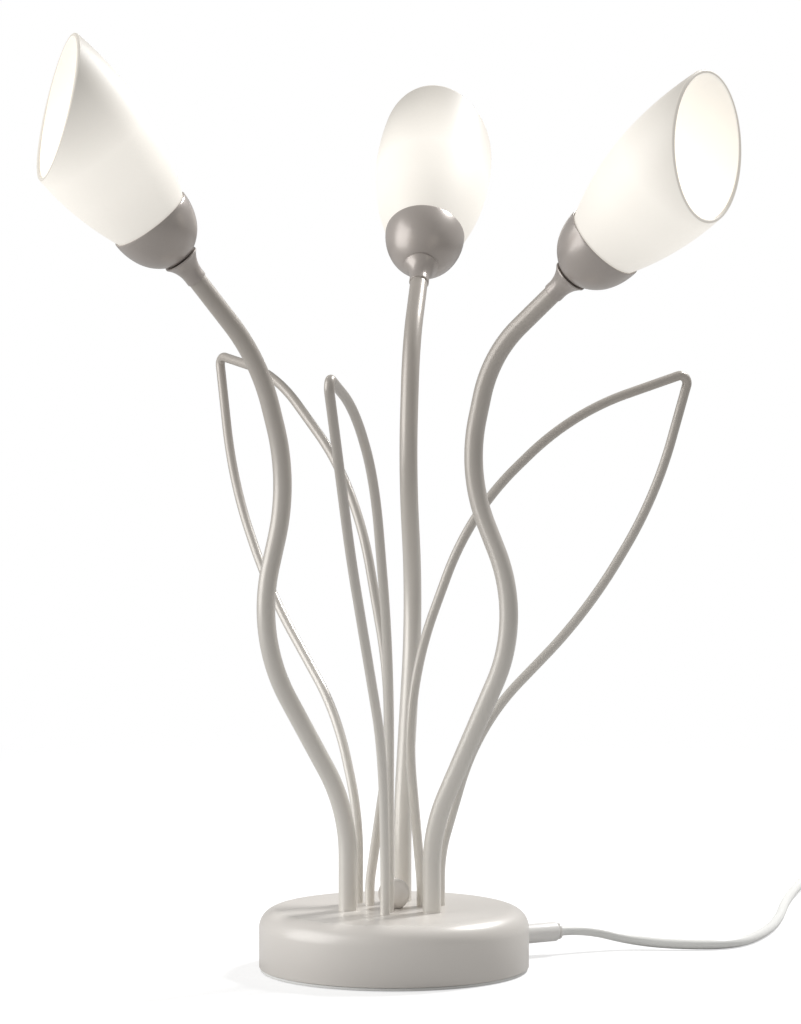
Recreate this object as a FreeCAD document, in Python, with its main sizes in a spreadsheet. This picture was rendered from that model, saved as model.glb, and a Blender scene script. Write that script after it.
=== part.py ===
# Table lamp with three tulip shades of opal glass on bent tubes, and three leaves of bent rod.
# Millimetres. X runs to the right, Y to the rear, Z up; the origin is on the floor under the
# middle of the round base.
import FreeCAD, Part
import math
import os
import Sketcher

V = FreeCAD.Vector
os.makedirs("parts", exist_ok=True)
doc = FreeCAD.newDocument("tulip_lamp")

# ---------------------------------------------------------------- driving sizes
SIZES = {
    # base
    "base_diameter": 140.0,         # outside of the spun cover
    "base_top": 32.0,               # height of the cover's flat top above the floor
    "base_edge_round": 10.0,        # rounded top edge
    "base_wall": 1.0,               # sheet of the cover
    "cover_lift": 1.6,              # gap from the floor to the cover's lower edge
    "pad_inset": 0.6,               # pad's edge inside the cover's wall
    "pad_thickness": 1.5,
    "plate_thickness": 2.0,
    "fit_gap": 0.3,                 # side clearance of what drops into something
    "thread_gap": 0.06,             # radial clearance of threads and plain bores
    "weight_side_gap": 6.0,         # between the weight and the cover's wall
    "weight_inner_diameter": 77.0,
    "weight_height": 15.0,
    "weight_slot_width": 23.0,      # slot in the weight that the mains lead runs through
    "spacer_diameter": 12.0,
    "bolt_diameter": 5.0,
    "bolt_head_diameter": 9.0,
    "ball_diameter": 16.5,
    "ball_flat_depth": 0.9,         # cap cut off the ball where it stands on the cover
    "ball_thread_depth": 9.0,
    "plate_screw_inset": 12.5,      # of the weight's screws from its outer edge
    "plate_screw_diameter": 4.0,
    "plate_screw_head": 7.2,
    "plate_screw_grip": 8.0,
    # stems
    "stem_circle": 25.4,            # radius of the stems' feet
    "stem_first_angle": 80.0,       # angle of the rear stem's foot from +X
    "tube_diameter": 9.5,
    "tube_wall": 0.8,
    "nipple_bore": 5.4,
    "foot_nipple_grip": 14.0,       # length of the foot nipple inside the tube
    "foot_nipple_drop": 12.0,       # and below the cover's top
    "foot_nut_across": 12.0,        # across flats
    "foot_nut_height": 4.0,
    "foot_washer_diameter": 14.0,
    "foot_washer_thickness": 1.0,
    # leaves
    "leaf_circle": 20.4,            # radius of the middle between a leaf's two feet
    "leaf_first_angle": 20.0,
    "leaf_leg_offset": 5.2,         # each foot from that middle
    "rod_diameter": 5.0,
    "rod_stud_diameter": 4.0,       # turned-down threaded end
    "rod_stud_length": 10.0,
    "leaf_nut_across": 7.0,
    "leaf_nut_height": 3.2,
    "leaf_tip_bend": 4.0,           # bend radius at the leaf's tip
    # heads
    "ferrule_length": 14.0,
    "ferrule_foot_diameter": 10.6,
    "ferrule_mouth_diameter": 18.6,
    "ferrule_flare": 15.0,          # radius of the trumpet's hollow curve
    "cup_height": 25.5,
    "cup_rim_radius": 21.6,
    "cup_wall": 0.8,
    "cup_shoulder_radius": 18.8,    # cup where its two curves meet
    "cup_shoulder_height": 12.1,
    "cup_foot_radius": 7.2,         # flat part of the cup's bottom
    "head_nipple_grip": 10.0,       # head nipple inside the tube
    "head_nut_across": 11.6,
    "head_nut_height": 3.0,
    "holder_diameter": 22.0,
    "holder_height": 21.0,
    "holder_flange_diameter": 30.0,
    "holder_flange_thickness": 1.6,
    "holder_flange_height": 9.6,    # flange's top above the holder's foot
    "shade_seat_hole": 23.0,        # hole in the bottom of the glass
    "shade_play": 0.15,             # glass to flange, and glass to ring
    "glass_wall": 2.2,
    "shade_base_radius": 16.4,      # outside of the glass at its bottom corner
    "shade_neck_radius": 20.5,      # outside of the glass in the cup's rim
    "shade_belly_radius": 31.8,
    "shade_belly_height": 57.0,     # heights are above the cup's rim
    "shade_high_radius": 26.6,
    "shade_high_height": 102.0,
    "shade_short_side": 51.0,       # slanting cut: height of the short side above the cup's rim
    "shade_long_side": 96.0,
    "ring_diameter": 26.4,
    "ring_height": 3.4,
    "bulb_diameter": 13.4,
    "bulb_length": 36.0,
    "bulb_base_height": 7.0,
    "bulb_base_width": 14.0,
    "bulb_base_depth": 7.4,
    "bulb_pin_diameter": 0.9,
    "bulb_pin_spacing": 9.0,
    "bulb_pin_length": 8.0,
    # mains lead
    "gland_angle": 30.0,
    "gland_height": 12.0,
    "gland_diameter": 10.3,
    "gland_reach": 99.0,            # radius at which the gland's sleeve ends
    "gland_ring_diameter": 8.6,
    "gland_ring_length": 2.4,
    "gland_inner_reach": 58.0,
    "gland_nut_across": 13.0,
    "gland_nut_thickness": 3.0,
    "cord_diameter": 5.2,
    "lead_diameter": 3.6,
    "clamp_reach": 49.0,
    "clamp_length": 7.0,
    "clamp_width": 19.0,
    "clamp_height": 13.0,
    "clamp_screw_spacing": 13.0,
    "small_screw_diameter": 2.6,
    "small_screw_head": 4.6,
    "small_screw_head_height": 1.8,
    "block_reach": 24.5,
    "block_length": 14.0,
    "block_width": 25.0,
    "block_height": 12.5,
    "block_screw_spacing": 18.0,
    # in-line switch
    "switch_length": 60.0,
    "switch_width": 26.0,
    "switch_height": 16.0,
    "switch_wall": 1.8,
    "rocker_length": 19.0,
    "rocker_width": 11.0,
    "rocker_gap": 1.0,
    "rocker_tip_angle": 8.0,
    "rocker_axle_diameter": 2.4,
    # coil and plug
    "coil_mean_radius": 27.4,
    "coil_pitch": 5.75,             # turn to turn, and layer to layer
    "coil_lift": 1.1,               # the tie's band runs under the turns
    "tie_thickness": 0.7,
    "tie_width": 9.0,
    "tie_gap": 0.35,
    "plug_length": 35.0,
    "plug_width": 35.0,
    "plug_thickness": 13.6,
    "plug_nose_length": 10.0,
    "plug_tail_width": 13.0,
    "pin_diameter": 4.0,
    "pin_length": 19.0,
    "pin_spacing": 18.6,
    "sleeve_length": 10.0,
}

# Each stem lies in one upright plane that goes through its foot. Angles are in degrees: turn is
# the plane's direction from +X, lean is the head's tilt from upright, and twist is how far the
# glass has been turned in its cup. Out and up are measured from the foot on the base's top.
STEMS = {
    1: {"turn": 205.5, "lean": 40.0, "twist": -14.0,
        "first_up": 52.5, "belly_out": 52.0, "belly_up": 143.3, "waist_out": 32.8, "waist_up": 221.8,
        "top_run": 53.0, "end_out": 83.4, "end_up": 324.9},
    2: {"turn": 83.3, "lean": 48.5, "twist": -12.5,
        "first_up": 46.0, "belly_out": 54.5, "belly_up": 150.0, "waist_out": 22.5, "waist_up": 227.0,
        "top_run": 49.0, "end_out": 76.0, "end_up": 324.0},
    3: {"turn": 328.0, "lean": 49.5, "twist": -8.0,
        "first_up": 43.1, "belly_out": 54.0, "belly_up": 154.0, "waist_out": 20.5, "waist_up": 226.9,
        "top_run": 47.6, "end_out": 71.1, "end_up": 318.0},
}

# Each leaf lies in one upright plane too. Its rod goes up the outer leg to the tip and comes
# back down the inner leg.
LEAVES = {
    1: {"turn": 19.0,
        "outer_up": 26.8, "bow_out": 25.8, "bow_up": 93.2, "sweep_out": 87.1, "sweep_up": 151.2,
        "rise_out": 125.6, "rise_up": 210.9, "tip_out": 145.4, "tip_up": 277.1, "crest_out": 78.2, "crest_up": 255.6,
        "over_out": 21.4, "over_up": 204.4, "inner_in": 14.7, "inner_up": 111.6},
    2: {"turn": 125.0,
        "outer_up": 45.9, "bow_out": 24.9, "bow_up": 97.2, "sweep_out": 90.6, "sweep_up": 159.3,
        "rise_out": 126.1, "rise_up": 216.3, "tip_out": 139.5, "tip_up": 284.7, "crest_out": 83.1, "crest_up": 275.1,
        "over_out": 7.2, "over_up": 217.9, "inner_in": 28.1, "inner_up": 103.1},
    3: {"turn": 259.5,
        "outer_up": 26.7, "bow_out": 12.2, "bow_up": 86.0, "sweep_out": 95.7, "sweep_up": 189.2,
        "rise_out": 122.6, "rise_up": 232.1, "tip_out": 152.7, "tip_up": 279.2, "crest_out": 86.6, "crest_up": 261.9,
        "over_out": 33.6, "over_up": 224.7, "inner_in": 7.0, "inner_up": 129.9},
}
for number, stem in STEMS.items():
    for word, value in stem.items():
        SIZES["stem_%d_%s" % (number, word)] = value
for number, leaf in LEAVES.items():
    for word, value in leaf.items():
        SIZES["leaf_%d_%s" % (number, word)] = value


# ---------------------------------------------------------------- sizes and the sheet
class Size:
    """A size with the sheet expression that gives it, so that both follow the same sums."""

    def __init__(self, value, text):
        self.value = float(value)
        self.text = text

    @staticmethod
    def of(other):
        if isinstance(other, Size):
            return other
        return Size(other, repr(float(other)))

    def __add__(self, other):
        o = Size.of(other)
        return Size(self.value + o.value, "(%s + %s)" % (self.text, o.text))

    def __sub__(self, other):
        o = Size.of(other)
        return Size(self.value - o.value, "(%s - %s)" % (self.text, o.text))

    def __mul__(self, other):
        o = Size.of(other)
        return Size(self.value * o.value, "(%s * %s)" % (self.text, o.text))

    def __truediv__(self, other):
        o = Size.of(other)
        return Size(self.value / o.value, "(%s / %s)" % (self.text, o.text))

    def __neg__(self):
        return Size(-self.value, "(0 - %s)" % self.text)

    def __radd__(self, other):
        return Size.of(other) + self

    def __rsub__(self, other):
        return Size.of(other) - self

    def __rmul__(self, other):
        return Size.of(other) * self


def cosine(angle):
    a = Size.of(angle)
    return Size(math.cos(math.radians(a.value)), "cos(%s * 1 deg)" % a.text)


def sine(angle):
    a = Size.of(angle)
    return Size(math.sin(math.radians(a.value)), "sin(%s * 1 deg)" % a.text)


def root(square):
    return Size(math.sqrt(square.value), "sqrt(%s)" % square.text)


class Names:
    """The sheet's sizes as attributes."""


sheet = doc.addObject("Spreadsheet::Sheet", "Sizes")
s = Names()
row = 1
for name, value in SIZES.items():
    sheet.set("A%d" % row, name)
    sheet.set("B%d" % row, str(value))
    sheet.setAlias("B%d" % row, name)
    setattr(s, name, Size(value, "Sizes." + name))
    row += 1
doc.recompute()


def number_of(x):
    return Size.of(x).value


# ---------------------------------------------------------------- sketches and features
parts = {}


def keep(name, thing):
    """Name an object as one sub-part of the lamp."""
    thing.Label = name
    parts[name] = thing
    return thing


def new_body(name, placement=None):
    body = doc.addObject("PartDesign::Body", "body_" + name)
    keep(name, body)
    if placement is not None:
        body.Placement = placement
    return body


def sketch_on(body, role, name):
    plane = [f for f in body.Origin.OriginFeatures if f.Role == role][0]
    sketch = body.newObject("Sketcher::SketchObject", name)
    sketch.AttachmentSupport = [(plane, "")]
    sketch.MapMode = "FlatFace"
    return sketch


def place_point(sketch, geo, pos, x, y):
    """Tie one point of a sketch to two sizes, measured from the sketch's origin."""
    for kind, axis, size in (("DistanceX", -2, x), ("DistanceY", -1, y)):
        size = Size.of(size)
        if abs(size.value) < 1e-9:
            sketch.addConstraint(Sketcher.Constraint("PointOnObject", geo, pos, axis))
            continue
        row = sketch.addConstraint(Sketcher.Constraint(kind, -1, 1, geo, pos, size.value))
        if "Sizes." in size.text:
            sketch.setExpression("Constraints[%d]" % row, size.text)


def outline(body, role, name, corners, arcs=None):
    """A closed outline through corners. arcs gives, for the edge that starts at a corner, its
    radius and the side its centre lies on: 1 left of the way round, -1 right of it."""
    arcs = arcs or {}
    sketch = sketch_on(body, role, name)
    pts = [V(number_of(x), number_of(y), 0) for x, y in corners]
    ends = []
    for i, a in enumerate(pts):
        b = pts[(i + 1) % len(pts)]
        if i not in arcs:
            geo = sketch.addGeometry(Part.LineSegment(a, b), False)
            ends.append(((geo, 1), (geo, 2)))
            continue
        radius, side = arcs[i]
        radius = Size.of(radius)
        half = (b - a).Length / 2
        reach = max(radius.value, half * 1.0001)
        across = V(-(b - a).y, (b - a).x, 0).normalize() * side
        centre = (a + b) * 0.5 + across * math.sqrt(reach * reach - half * half)
        start, stop = (a, b) if side > 0 else (b, a)
        first = math.atan2(start.y - centre.y, start.x - centre.x)
        last = math.atan2(stop.y - centre.y, stop.x - centre.x)
        if last <= first:
            last += 2 * math.pi
        circle = Part.Circle(centre, V(0, 0, 1), reach)
        geo = sketch.addGeometry(Part.ArcOfCircle(circle, first, last), False)
        ends.append(((geo, 1), (geo, 2)) if side > 0 else ((geo, 2), (geo, 1)))
        row = sketch.addConstraint(Sketcher.Constraint("Radius", geo, reach))
        if "Sizes." in radius.text:
            sketch.setExpression("Constraints[%d]" % row, radius.text)
    for i, (x, y) in enumerate(corners):
        geo, pos = ends[i][0]
        other, last_pos = ends[i - 1][1]
        sketch.addConstraint(Sketcher.Constraint("Coincident", other, last_pos, geo, pos))
        place_point(sketch, geo, pos, x, y)
    return sketch


def circles(body, role, name, spots):
    """Circles of a sketch: each spot is (x, y, radius)."""
    sketch = sketch_on(body, role, name)
    for x, y, radius in spots:
        radius = Size.of(radius)
        circle = Part.Circle(V(number_of(x), number_of(y), 0), V(0, 0, 1), radius.value)
        geo = sketch.addGeometry(circle, False)
        row = sketch.addConstraint(Sketcher.Constraint("Radius", geo, radius.value))
        if "Sizes." in radius.text:
            sketch.setExpression("Constraints[%d]" % row, radius.text)
        place_point(sketch, geo, 3, x, y)
    return sketch


def revolve(body, sketch, name):
    feature = body.newObject("PartDesign::Revolution", name)
    feature.Profile = sketch
    feature.ReferenceAxis = (sketch, ["V_Axis"])
    feature.Angle = 360.0
    return feature


def pad(body, sketch, name, length, both_ways=False, backward=False):
    feature = body.newObject("PartDesign::Pad", name)
    feature.Profile = sketch
    feature.Length = number_of(length)
    if "Sizes." in Size.of(length).text:
        feature.setExpression("Length", Size.of(length).text)
    feature.Midplane = both_ways
    feature.Reversed = backward
    return feature


def cut_through(body, sketch, name, both_ways=True, backward=False):
    """A pocket through all, checked to have taken material away."""
    doc.recompute()
    before = body.Shape.Volume
    feature = body.newObject("PartDesign::Pocket", name)
    feature.Profile = sketch
    feature.Type = 1
    feature.Midplane = both_ways
    feature.Reversed = backward
    doc.recompute()
    if not body.Shape.Volume < before - 1e-3:
        raise RuntimeError("%s cuts nothing" % name)
    return feature


def cut_deep(body, sketch, name, depth, backward=False):
    """A pocket of a depth, from the sketch's plane."""
    doc.recompute()
    before = body.Shape.Volume
    feature = body.newObject("PartDesign::Pocket", name)
    feature.Profile = sketch
    feature.Type = 0
    feature.Length = number_of(depth)
    if "Sizes." in Size.of(depth).text:
        feature.setExpression("Length", Size.of(depth).text)
    feature.Reversed = backward
    doc.recompute()
    if not body.Shape.Volume < before - 1e-3:
        raise RuntimeError("%s cuts nothing" % name)
    return feature


def set_size(thing, word, size):
    size = Size.of(size)
    setattr(thing, word, size.value)
    if "Sizes." in size.text:
        thing.setExpression(word, size.text)


def put(thing, x, y, z, rotation=None):
    """Place a primitive, each coordinate tied to its size."""
    thing.Placement = FreeCAD.Placement(V(number_of(x), number_of(y), number_of(z)),
                                        rotation or FreeCAD.Rotation())
    for letter, size in (("x", x), ("y", y), ("z", z)):
        size = Size.of(size)
        if "Sizes." in size.text:
            thing.setExpression("Placement.Base." + letter, size.text)
    return thing


def cylinder(name, radius, height, x=0, y=0, z=0, rotation=None):
    c = doc.addObject("Part::Cylinder", name)
    set_size(c, "Radius", radius)
    set_size(c, "Height", height)
    return put(c, x, y, z, rotation)


def cone(name, radius, top_radius, height, x=0, y=0, z=0, rotation=None):
    c = doc.addObject("Part::Cone", name)
    set_size(c, "Radius1", radius)
    set_size(c, "Radius2", top_radius)
    set_size(c, "Height", height)
    return put(c, x, y, z, rotation)


def hexagon(name, across, height, x=0, y=0, z=0, rotation=None):
    c = doc.addObject("Part::Prism", name)
    c.Polygon = 6
    set_size(c, "Circumradius", across * (1 / math.sqrt(3)))
    set_size(c, "Height", height)
    return put(c, x, y, z, rotation)


def block(name, length, width, height, x, y, z, rotation=None):
    c = doc.addObject("Part::Box", name)
    set_size(c, "Length", length)
    set_size(c, "Width", width)
    set_size(c, "Height", height)
    return put(c, x, y, z, rotation)


def take(name, base, tool):
    c = doc.addObject("Part::Cut", name)
    c.Base = base
    c.Tool = tool
    return c


def join(name, *things):
    c = doc.addObject("Part::MultiFuse", name)
    c.Shapes = list(things)
    return c


def group(name, things):
    c = doc.addObject("Part::Compound", name + "_group")
    c.Links = list(things)
    return keep(name, c)


# ---------------------------------------------------------------- bent tubes and wires
def bends(points, fill=0.45, fixed=None):
    """Corner points to tangent points: for each inner corner its radius and its two tangent
    points. A bend takes the same share of the shorter run beside it, unless fixed names one."""
    pts = [V(*p) if not isinstance(p, FreeCAD.Vector) else p for p in points]
    fixed = fixed or {}
    out = []
    for i in range(1, len(pts) - 1):
        before = pts[i] - pts[i - 1]
        after = pts[i + 1] - pts[i]
        turn = before.getAngle(after)
        if i in fixed:
            radius = fixed[i]
        else:
            radius = fill * min(before.Length, after.Length) / math.tan(turn / 2)
        reach = radius * math.tan(turn / 2)
        start = pts[i] - V(before).normalize() * reach
        stop = pts[i] + V(after).normalize() * reach
        inward = V(after).normalize() - V(before).normalize()
        centre = pts[i] + inward.normalize() * (radius / math.cos(turn / 2))
        out.append((radius, start, stop, centre))
    return out


def bent_wire(points, fill=0.45, fixed=None):
    """Straight runs joined by tangent arcs, as one wire; also the radii."""
    pts = [V(*p) if not isinstance(p, FreeCAD.Vector) else p for p in points]
    corners = bends(pts, fill, fixed)
    edges = []
    at = pts[0]
    for radius, start, stop, centre in corners:
        edges.append(Part.LineSegment(at, start).toShape())
        middle = centre + ((start + stop) * 0.5 - centre).normalize() * radius
        edges.append(Part.Arc(start, middle, stop).toShape())
        at = stop
    edges.append(Part.LineSegment(at, pts[-1]).toShape())
    return Part.Wire(edges), [c[0] for c in corners]


def swept(wire, radius):
    """A round solid along a wire."""
    radius = number_of(radius)
    start = wire.Edges[0].valueAt(wire.Edges[0].FirstParameter)
    along = wire.Edges[0].tangentAt(wire.Edges[0].FirstParameter)
    ring = Part.Wire([Part.Circle(start, along, radius).toShape()])
    solid = wire.makePipeShell([ring], True, False)
    expected = math.pi * radius * radius * wire.Length
    if abs(solid.Volume / expected - 1) > 0.02:
        raise RuntimeError("a sweep's volume is %.0f, not %.0f" % (solid.Volume, expected))
    return solid


def plain(name, shape):
    """A piece whose shape is made with Part's own functions."""
    return keep(name, doc.addObject("Part::Feature", "shape_" + name)), shape


def path_sketch(body, name, corners, fill, fixed=None):
    """A bent tube's centre line in its own plane: the corner points are tied to the sizes, the
    bends are tangent to the runs."""
    sketch = sketch_on(body, "XZ_Plane", name)
    flat = [V(number_of(x), number_of(y), 0) for x, y in corners]
    rounds = bends(flat, fill, fixed)
    lines = []
    at = flat[0]
    for radius, start, stop, centre in rounds:
        lines.append(sketch.addGeometry(Part.LineSegment(at, start), False))
        at = stop
    lines.append(sketch.addGeometry(Part.LineSegment(at, flat[-1]), False))
    place_point(sketch, lines[0], 1, corners[0][0], corners[0][1])
    place_point(sketch, lines[-1], 2, corners[-1][0], corners[-1][1])
    for i, (radius, start, stop, centre) in enumerate(rounds):
        first = math.atan2(start.y - centre.y, start.x - centre.x)
        last = math.atan2(stop.y - centre.y, stop.x - centre.x)
        turn = (last - first) % (2 * math.pi)
        forward = turn < math.pi
        if not forward:
            first, last = last, first
        if last < first:
            last += 2 * math.pi
        circle = Part.Circle(centre, V(0, 0, 1), radius)
        arc = sketch.addGeometry(Part.ArcOfCircle(circle, first, last), False)
        begin, end = (1, 2) if forward else (2, 1)
        sketch.addConstraint(Sketcher.Constraint("Tangent", lines[i], 2, arc, begin))
        sketch.addConstraint(Sketcher.Constraint("Tangent", arc, end, lines[i + 1], 1))
        sketch.addConstraint(Sketcher.Constraint("Radius", arc, radius))
        corner = sketch.addGeometry(Part.Point(flat[i + 1]), True)
        sketch.addConstraint(Sketcher.Constraint("PointOnObject", corner, 1, lines[i]))
        sketch.addConstraint(Sketcher.Constraint("PointOnObject", corner, 1, lines[i + 1]))
        place_point(sketch, corner, 1, corners[i + 1][0], corners[i + 1][1])
    return sketch


def pipe_along(body, spine, profile, name):
    feature = body.newObject("PartDesign::AdditivePipe", name)
    feature.Profile = profile
    feature.Spine = (spine, ["Edge%d" % (k + 1) for k in range(len(spine.Shape.Edges))])
    return feature


def turned(angle, x=0.0, y=0.0, z=0.0):
    return FreeCAD.Placement(V(x, y, z), FreeCAD.Rotation(V(0, 0, 1), angle))


# ================================================================ base
base_radius = s.base_diameter / 2
inner_radius = base_radius - s.base_wall
weight_radius = inner_radius - s.weight_side_gap
pad_top = s.pad_thickness
plate_top = pad_top + s.plate_thickness
weight_top = plate_top + s.weight_height
ceiling = s.base_top - s.base_wall

stem_angles = {2: s.stem_first_angle, 1: s.stem_first_angle + 120, 3: s.stem_first_angle + 240}
leaf_angles = {1: s.leaf_first_angle, 2: s.leaf_first_angle + 120, 3: s.leaf_first_angle + 240}
stem_turns = {i: getattr(s, "stem_%d_turn" % i) for i in STEMS}
leaf_turns = {i: getattr(s, "leaf_%d_turn" % i) for i in LEAVES}
stem_feet = {i: (s.stem_circle * cosine(a), s.stem_circle * sine(a)) for i, a in stem_angles.items()}
leaf_feet = {}
for i, a in leaf_angles.items():
    middle = (s.leaf_circle * cosine(a), s.leaf_circle * sine(a))
    along = (cosine(leaf_turns[i]), sine(leaf_turns[i]))
    leaf_feet[i] = [(middle[0] + s.leaf_leg_offset * along[0] * way,
                     middle[1] + s.leaf_leg_offset * along[1] * way) for way in (1, -1)]
bore_radius = s.tube_diameter / 2 - s.tube_wall          # bore of the tubes
nipple_radius = bore_radius - s.thread_gap               # outside of the nipples in them

# Cover: a spun shell. Its sheet is seen as the rounded edge and the plain wall.
cover = new_body("base_cover")
edge = base_radius - s.base_edge_round
shell = outline(cover, "XZ_Plane", "cover_outline", [
    (0, ceiling), (edge, ceiling), (inner_radius, s.base_top - s.base_edge_round),
    (inner_radius, s.cover_lift), (base_radius, s.cover_lift),
    (base_radius, s.base_top - s.base_edge_round), (edge, s.base_top), (0, s.base_top)],
    {1: (s.base_edge_round - s.base_wall, -1), 5: (s.base_edge_round, 1)})
revolve(cover, shell, "cover_spin")
holes = [(0, 0, s.bolt_diameter / 2 + s.thread_gap)]
holes += [(x, y, nipple_radius + s.thread_gap) for x, y in stem_feet.values()]
for feet in leaf_feet.values():
    holes += [(x, y, s.rod_stud_diameter / 2 + s.thread_gap) for x, y in feet]
cut_through(cover, circles(cover, "XY_Plane", "cover_holes", holes), "cover_drill")
cover_side = [f for f in cover.Origin.OriginFeatures if f.Role == "YZ_Plane"][0]
gland_turn = FreeCAD.Rotation(V(0, 0, 1), s.gland_angle.value)
side_hole = cover.newObject("Sketcher::SketchObject", "cover_side_hole")
side_hole.AttachmentSupport = [(cover_side, "")]
side_hole.MapMode = "FlatFace"
side_hole.AttachmentOffset = FreeCAD.Placement(V(0, 0, 0), FreeCAD.Rotation(V(0, 1, 0), s.gland_angle.value))
hole = side_hole.addGeometry(Part.Circle(V(0, s.gland_height.value, 0), V(0, 0, 1), 3.0), False)
row = side_hole.addConstraint(Sketcher.Constraint("Radius", hole, 3.0))
gland_thread = s.cord_diameter / 2 + 1.5                 # thread of the gland in the wall
side_hole.setExpression("Constraints[%d]" % row, (gland_thread + s.thread_gap).text)
place_point(side_hole, hole, 3, 0, s.gland_height)
cut_through(cover, side_hole, "cover_side_drill", both_ways=False, backward=True)

# Pad under the plate: a disc of pale foam.
foam = new_body("base_pad")
pad_radius = base_radius - s.pad_inset
pad(foam, circles(foam, "XY_Plane", "pad_ring", [(0, 0, pad_radius)]), "pad_disc", s.pad_thickness)

# Bottom plate with its countersunk holes.
plate_radius = inner_radius - s.fit_gap
screw_angles = [s.gland_angle.value + 60 + 120 * k for k in range(3)]
screw_circle = weight_radius - s.plate_screw_inset
screw_spots = [(screw_circle * cosine(a), screw_circle * sine(a)) for a in screw_angles]
along_gland = (cosine(s.gland_angle), sine(s.gland_angle))
across_gland = (-sine(s.gland_angle), cosine(s.gland_angle))


def by_gland(reach, side):
    """A point at a radius toward the gland and to one side of that line."""
    return (along_gland[0] * reach + across_gland[0] * side,
            along_gland[1] * reach + across_gland[1] * side)


clamp_spots = [by_gland(s.clamp_reach, s.clamp_screw_spacing / 2 * way) for way in (1, -1)]
block_spots = [by_gland(s.block_reach, s.block_screw_spacing / 2 * way) for way in (1, -1)]
plate = cylinder("plate_disc", plate_radius, s.plate_thickness, z=pad_top)
drills = [cylinder("plate_bolt_hole", s.bolt_diameter / 2 + s.thread_gap, s.plate_thickness, z=pad_top),
          cone("plate_bolt_sink", s.bolt_head_diameter / 2 + s.thread_gap, s.bolt_diameter / 2 + s.thread_gap,
               s.plate_thickness * 0.9, z=pad_top)]
for k, (x, y) in enumerate(screw_spots):
    drills.append(cylinder("plate_hole_%d" % k, s.plate_screw_diameter / 2 + s.thread_gap,
                           s.plate_thickness, x, y, pad_top))
    drills.append(cone("plate_sink_%d" % k, s.plate_screw_head / 2 + s.thread_gap,
                       s.plate_screw_diameter / 2 + s.thread_gap, s.plate_thickness * 0.9, x, y, pad_top))
for k, (x, y) in enumerate(clamp_spots + block_spots):
    drills.append(cylinder("plate_pilot_%d" % k, s.small_screw_diameter / 2 + s.thread_gap,
                           s.plate_thickness, x, y, pad_top))
keep("bottom_plate", take("plate_cut", plate, join("plate_drills", *drills)))

# Weight: a cast ring with a slot toward the gland.
ring = take("weight_ring", cylinder("weight_disc", weight_radius, s.weight_height, z=plate_top),
            cylinder("weight_bore", s.weight_inner_diameter / 2, s.weight_height, z=plate_top))
slot_x, slot_y = by_gland(s.weight_inner_diameter / 4, -s.weight_slot_width / 2)
slot = block("weight_slot", weight_radius, s.weight_slot_width, s.weight_height,
             slot_x, slot_y, plate_top, gland_turn)
taps = [cylinder("weight_tap_%d" % k, s.plate_screw_diameter / 2 + s.thread_gap, s.plate_screw_grip, x, y, plate_top)
        for k, (x, y) in enumerate(screw_spots)]
keep("base_weight", take("weight_cut", ring, join("weight_tools", slot, *taps)))

# Screws that hold the weight on the plate.
screws = []
for k, (x, y) in enumerate(screw_spots):
    shank = cylinder("plate_screw_shank_%d" % k, s.plate_screw_diameter / 2,
                     s.plate_thickness + s.plate_screw_grip, x, y, pad_top)
    head = cone("plate_screw_head_%d" % k, s.plate_screw_head / 2, s.plate_screw_diameter / 2,
                s.plate_thickness * 0.9, x, y, pad_top)
    screws.append(join("plate_screw_%d" % k, shank, head))
group("plate_screws", screws)

# Ball nut, centre bolt and spacer tube: the bolt draws the plate up to the cover.
ball_radius = s.ball_diameter / 2
ball_centre = s.base_top + ball_radius - s.ball_flat_depth
bolt_top = s.base_top + s.ball_thread_depth
ball = doc.addObject("Part::Sphere", "ball_round")
set_size(ball, "Radius", ball_radius)
put(ball, 0, 0, ball_centre)
ball_trim = join("ball_trim", cylinder("ball_below", ball_radius, ball_radius, z=s.base_top - ball_radius),
                 cylinder("ball_thread", s.bolt_diameter / 2 + s.thread_gap, s.ball_thread_depth, z=s.base_top))
keep("ball_nut", take("ball_cut", ball, ball_trim))
bolt_shank = cylinder("bolt_shank", s.bolt_diameter / 2, bolt_top - pad_top, z=pad_top)
bolt_head = cone("bolt_head", s.bolt_head_diameter / 2, s.bolt_diameter / 2, s.plate_thickness * 0.9, z=pad_top)
keep("centre_bolt", join("bolt_whole", bolt_shank, bolt_head))
spacer = cylinder("spacer_tube", s.spacer_diameter / 2, ceiling - plate_top, z=plate_top)
keep("centre_spacer", take("spacer_cut", spacer,
                           cylinder("spacer_bore", s.bolt_diameter / 2 + s.fit_gap, ceiling - plate_top, z=plate_top)))

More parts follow.
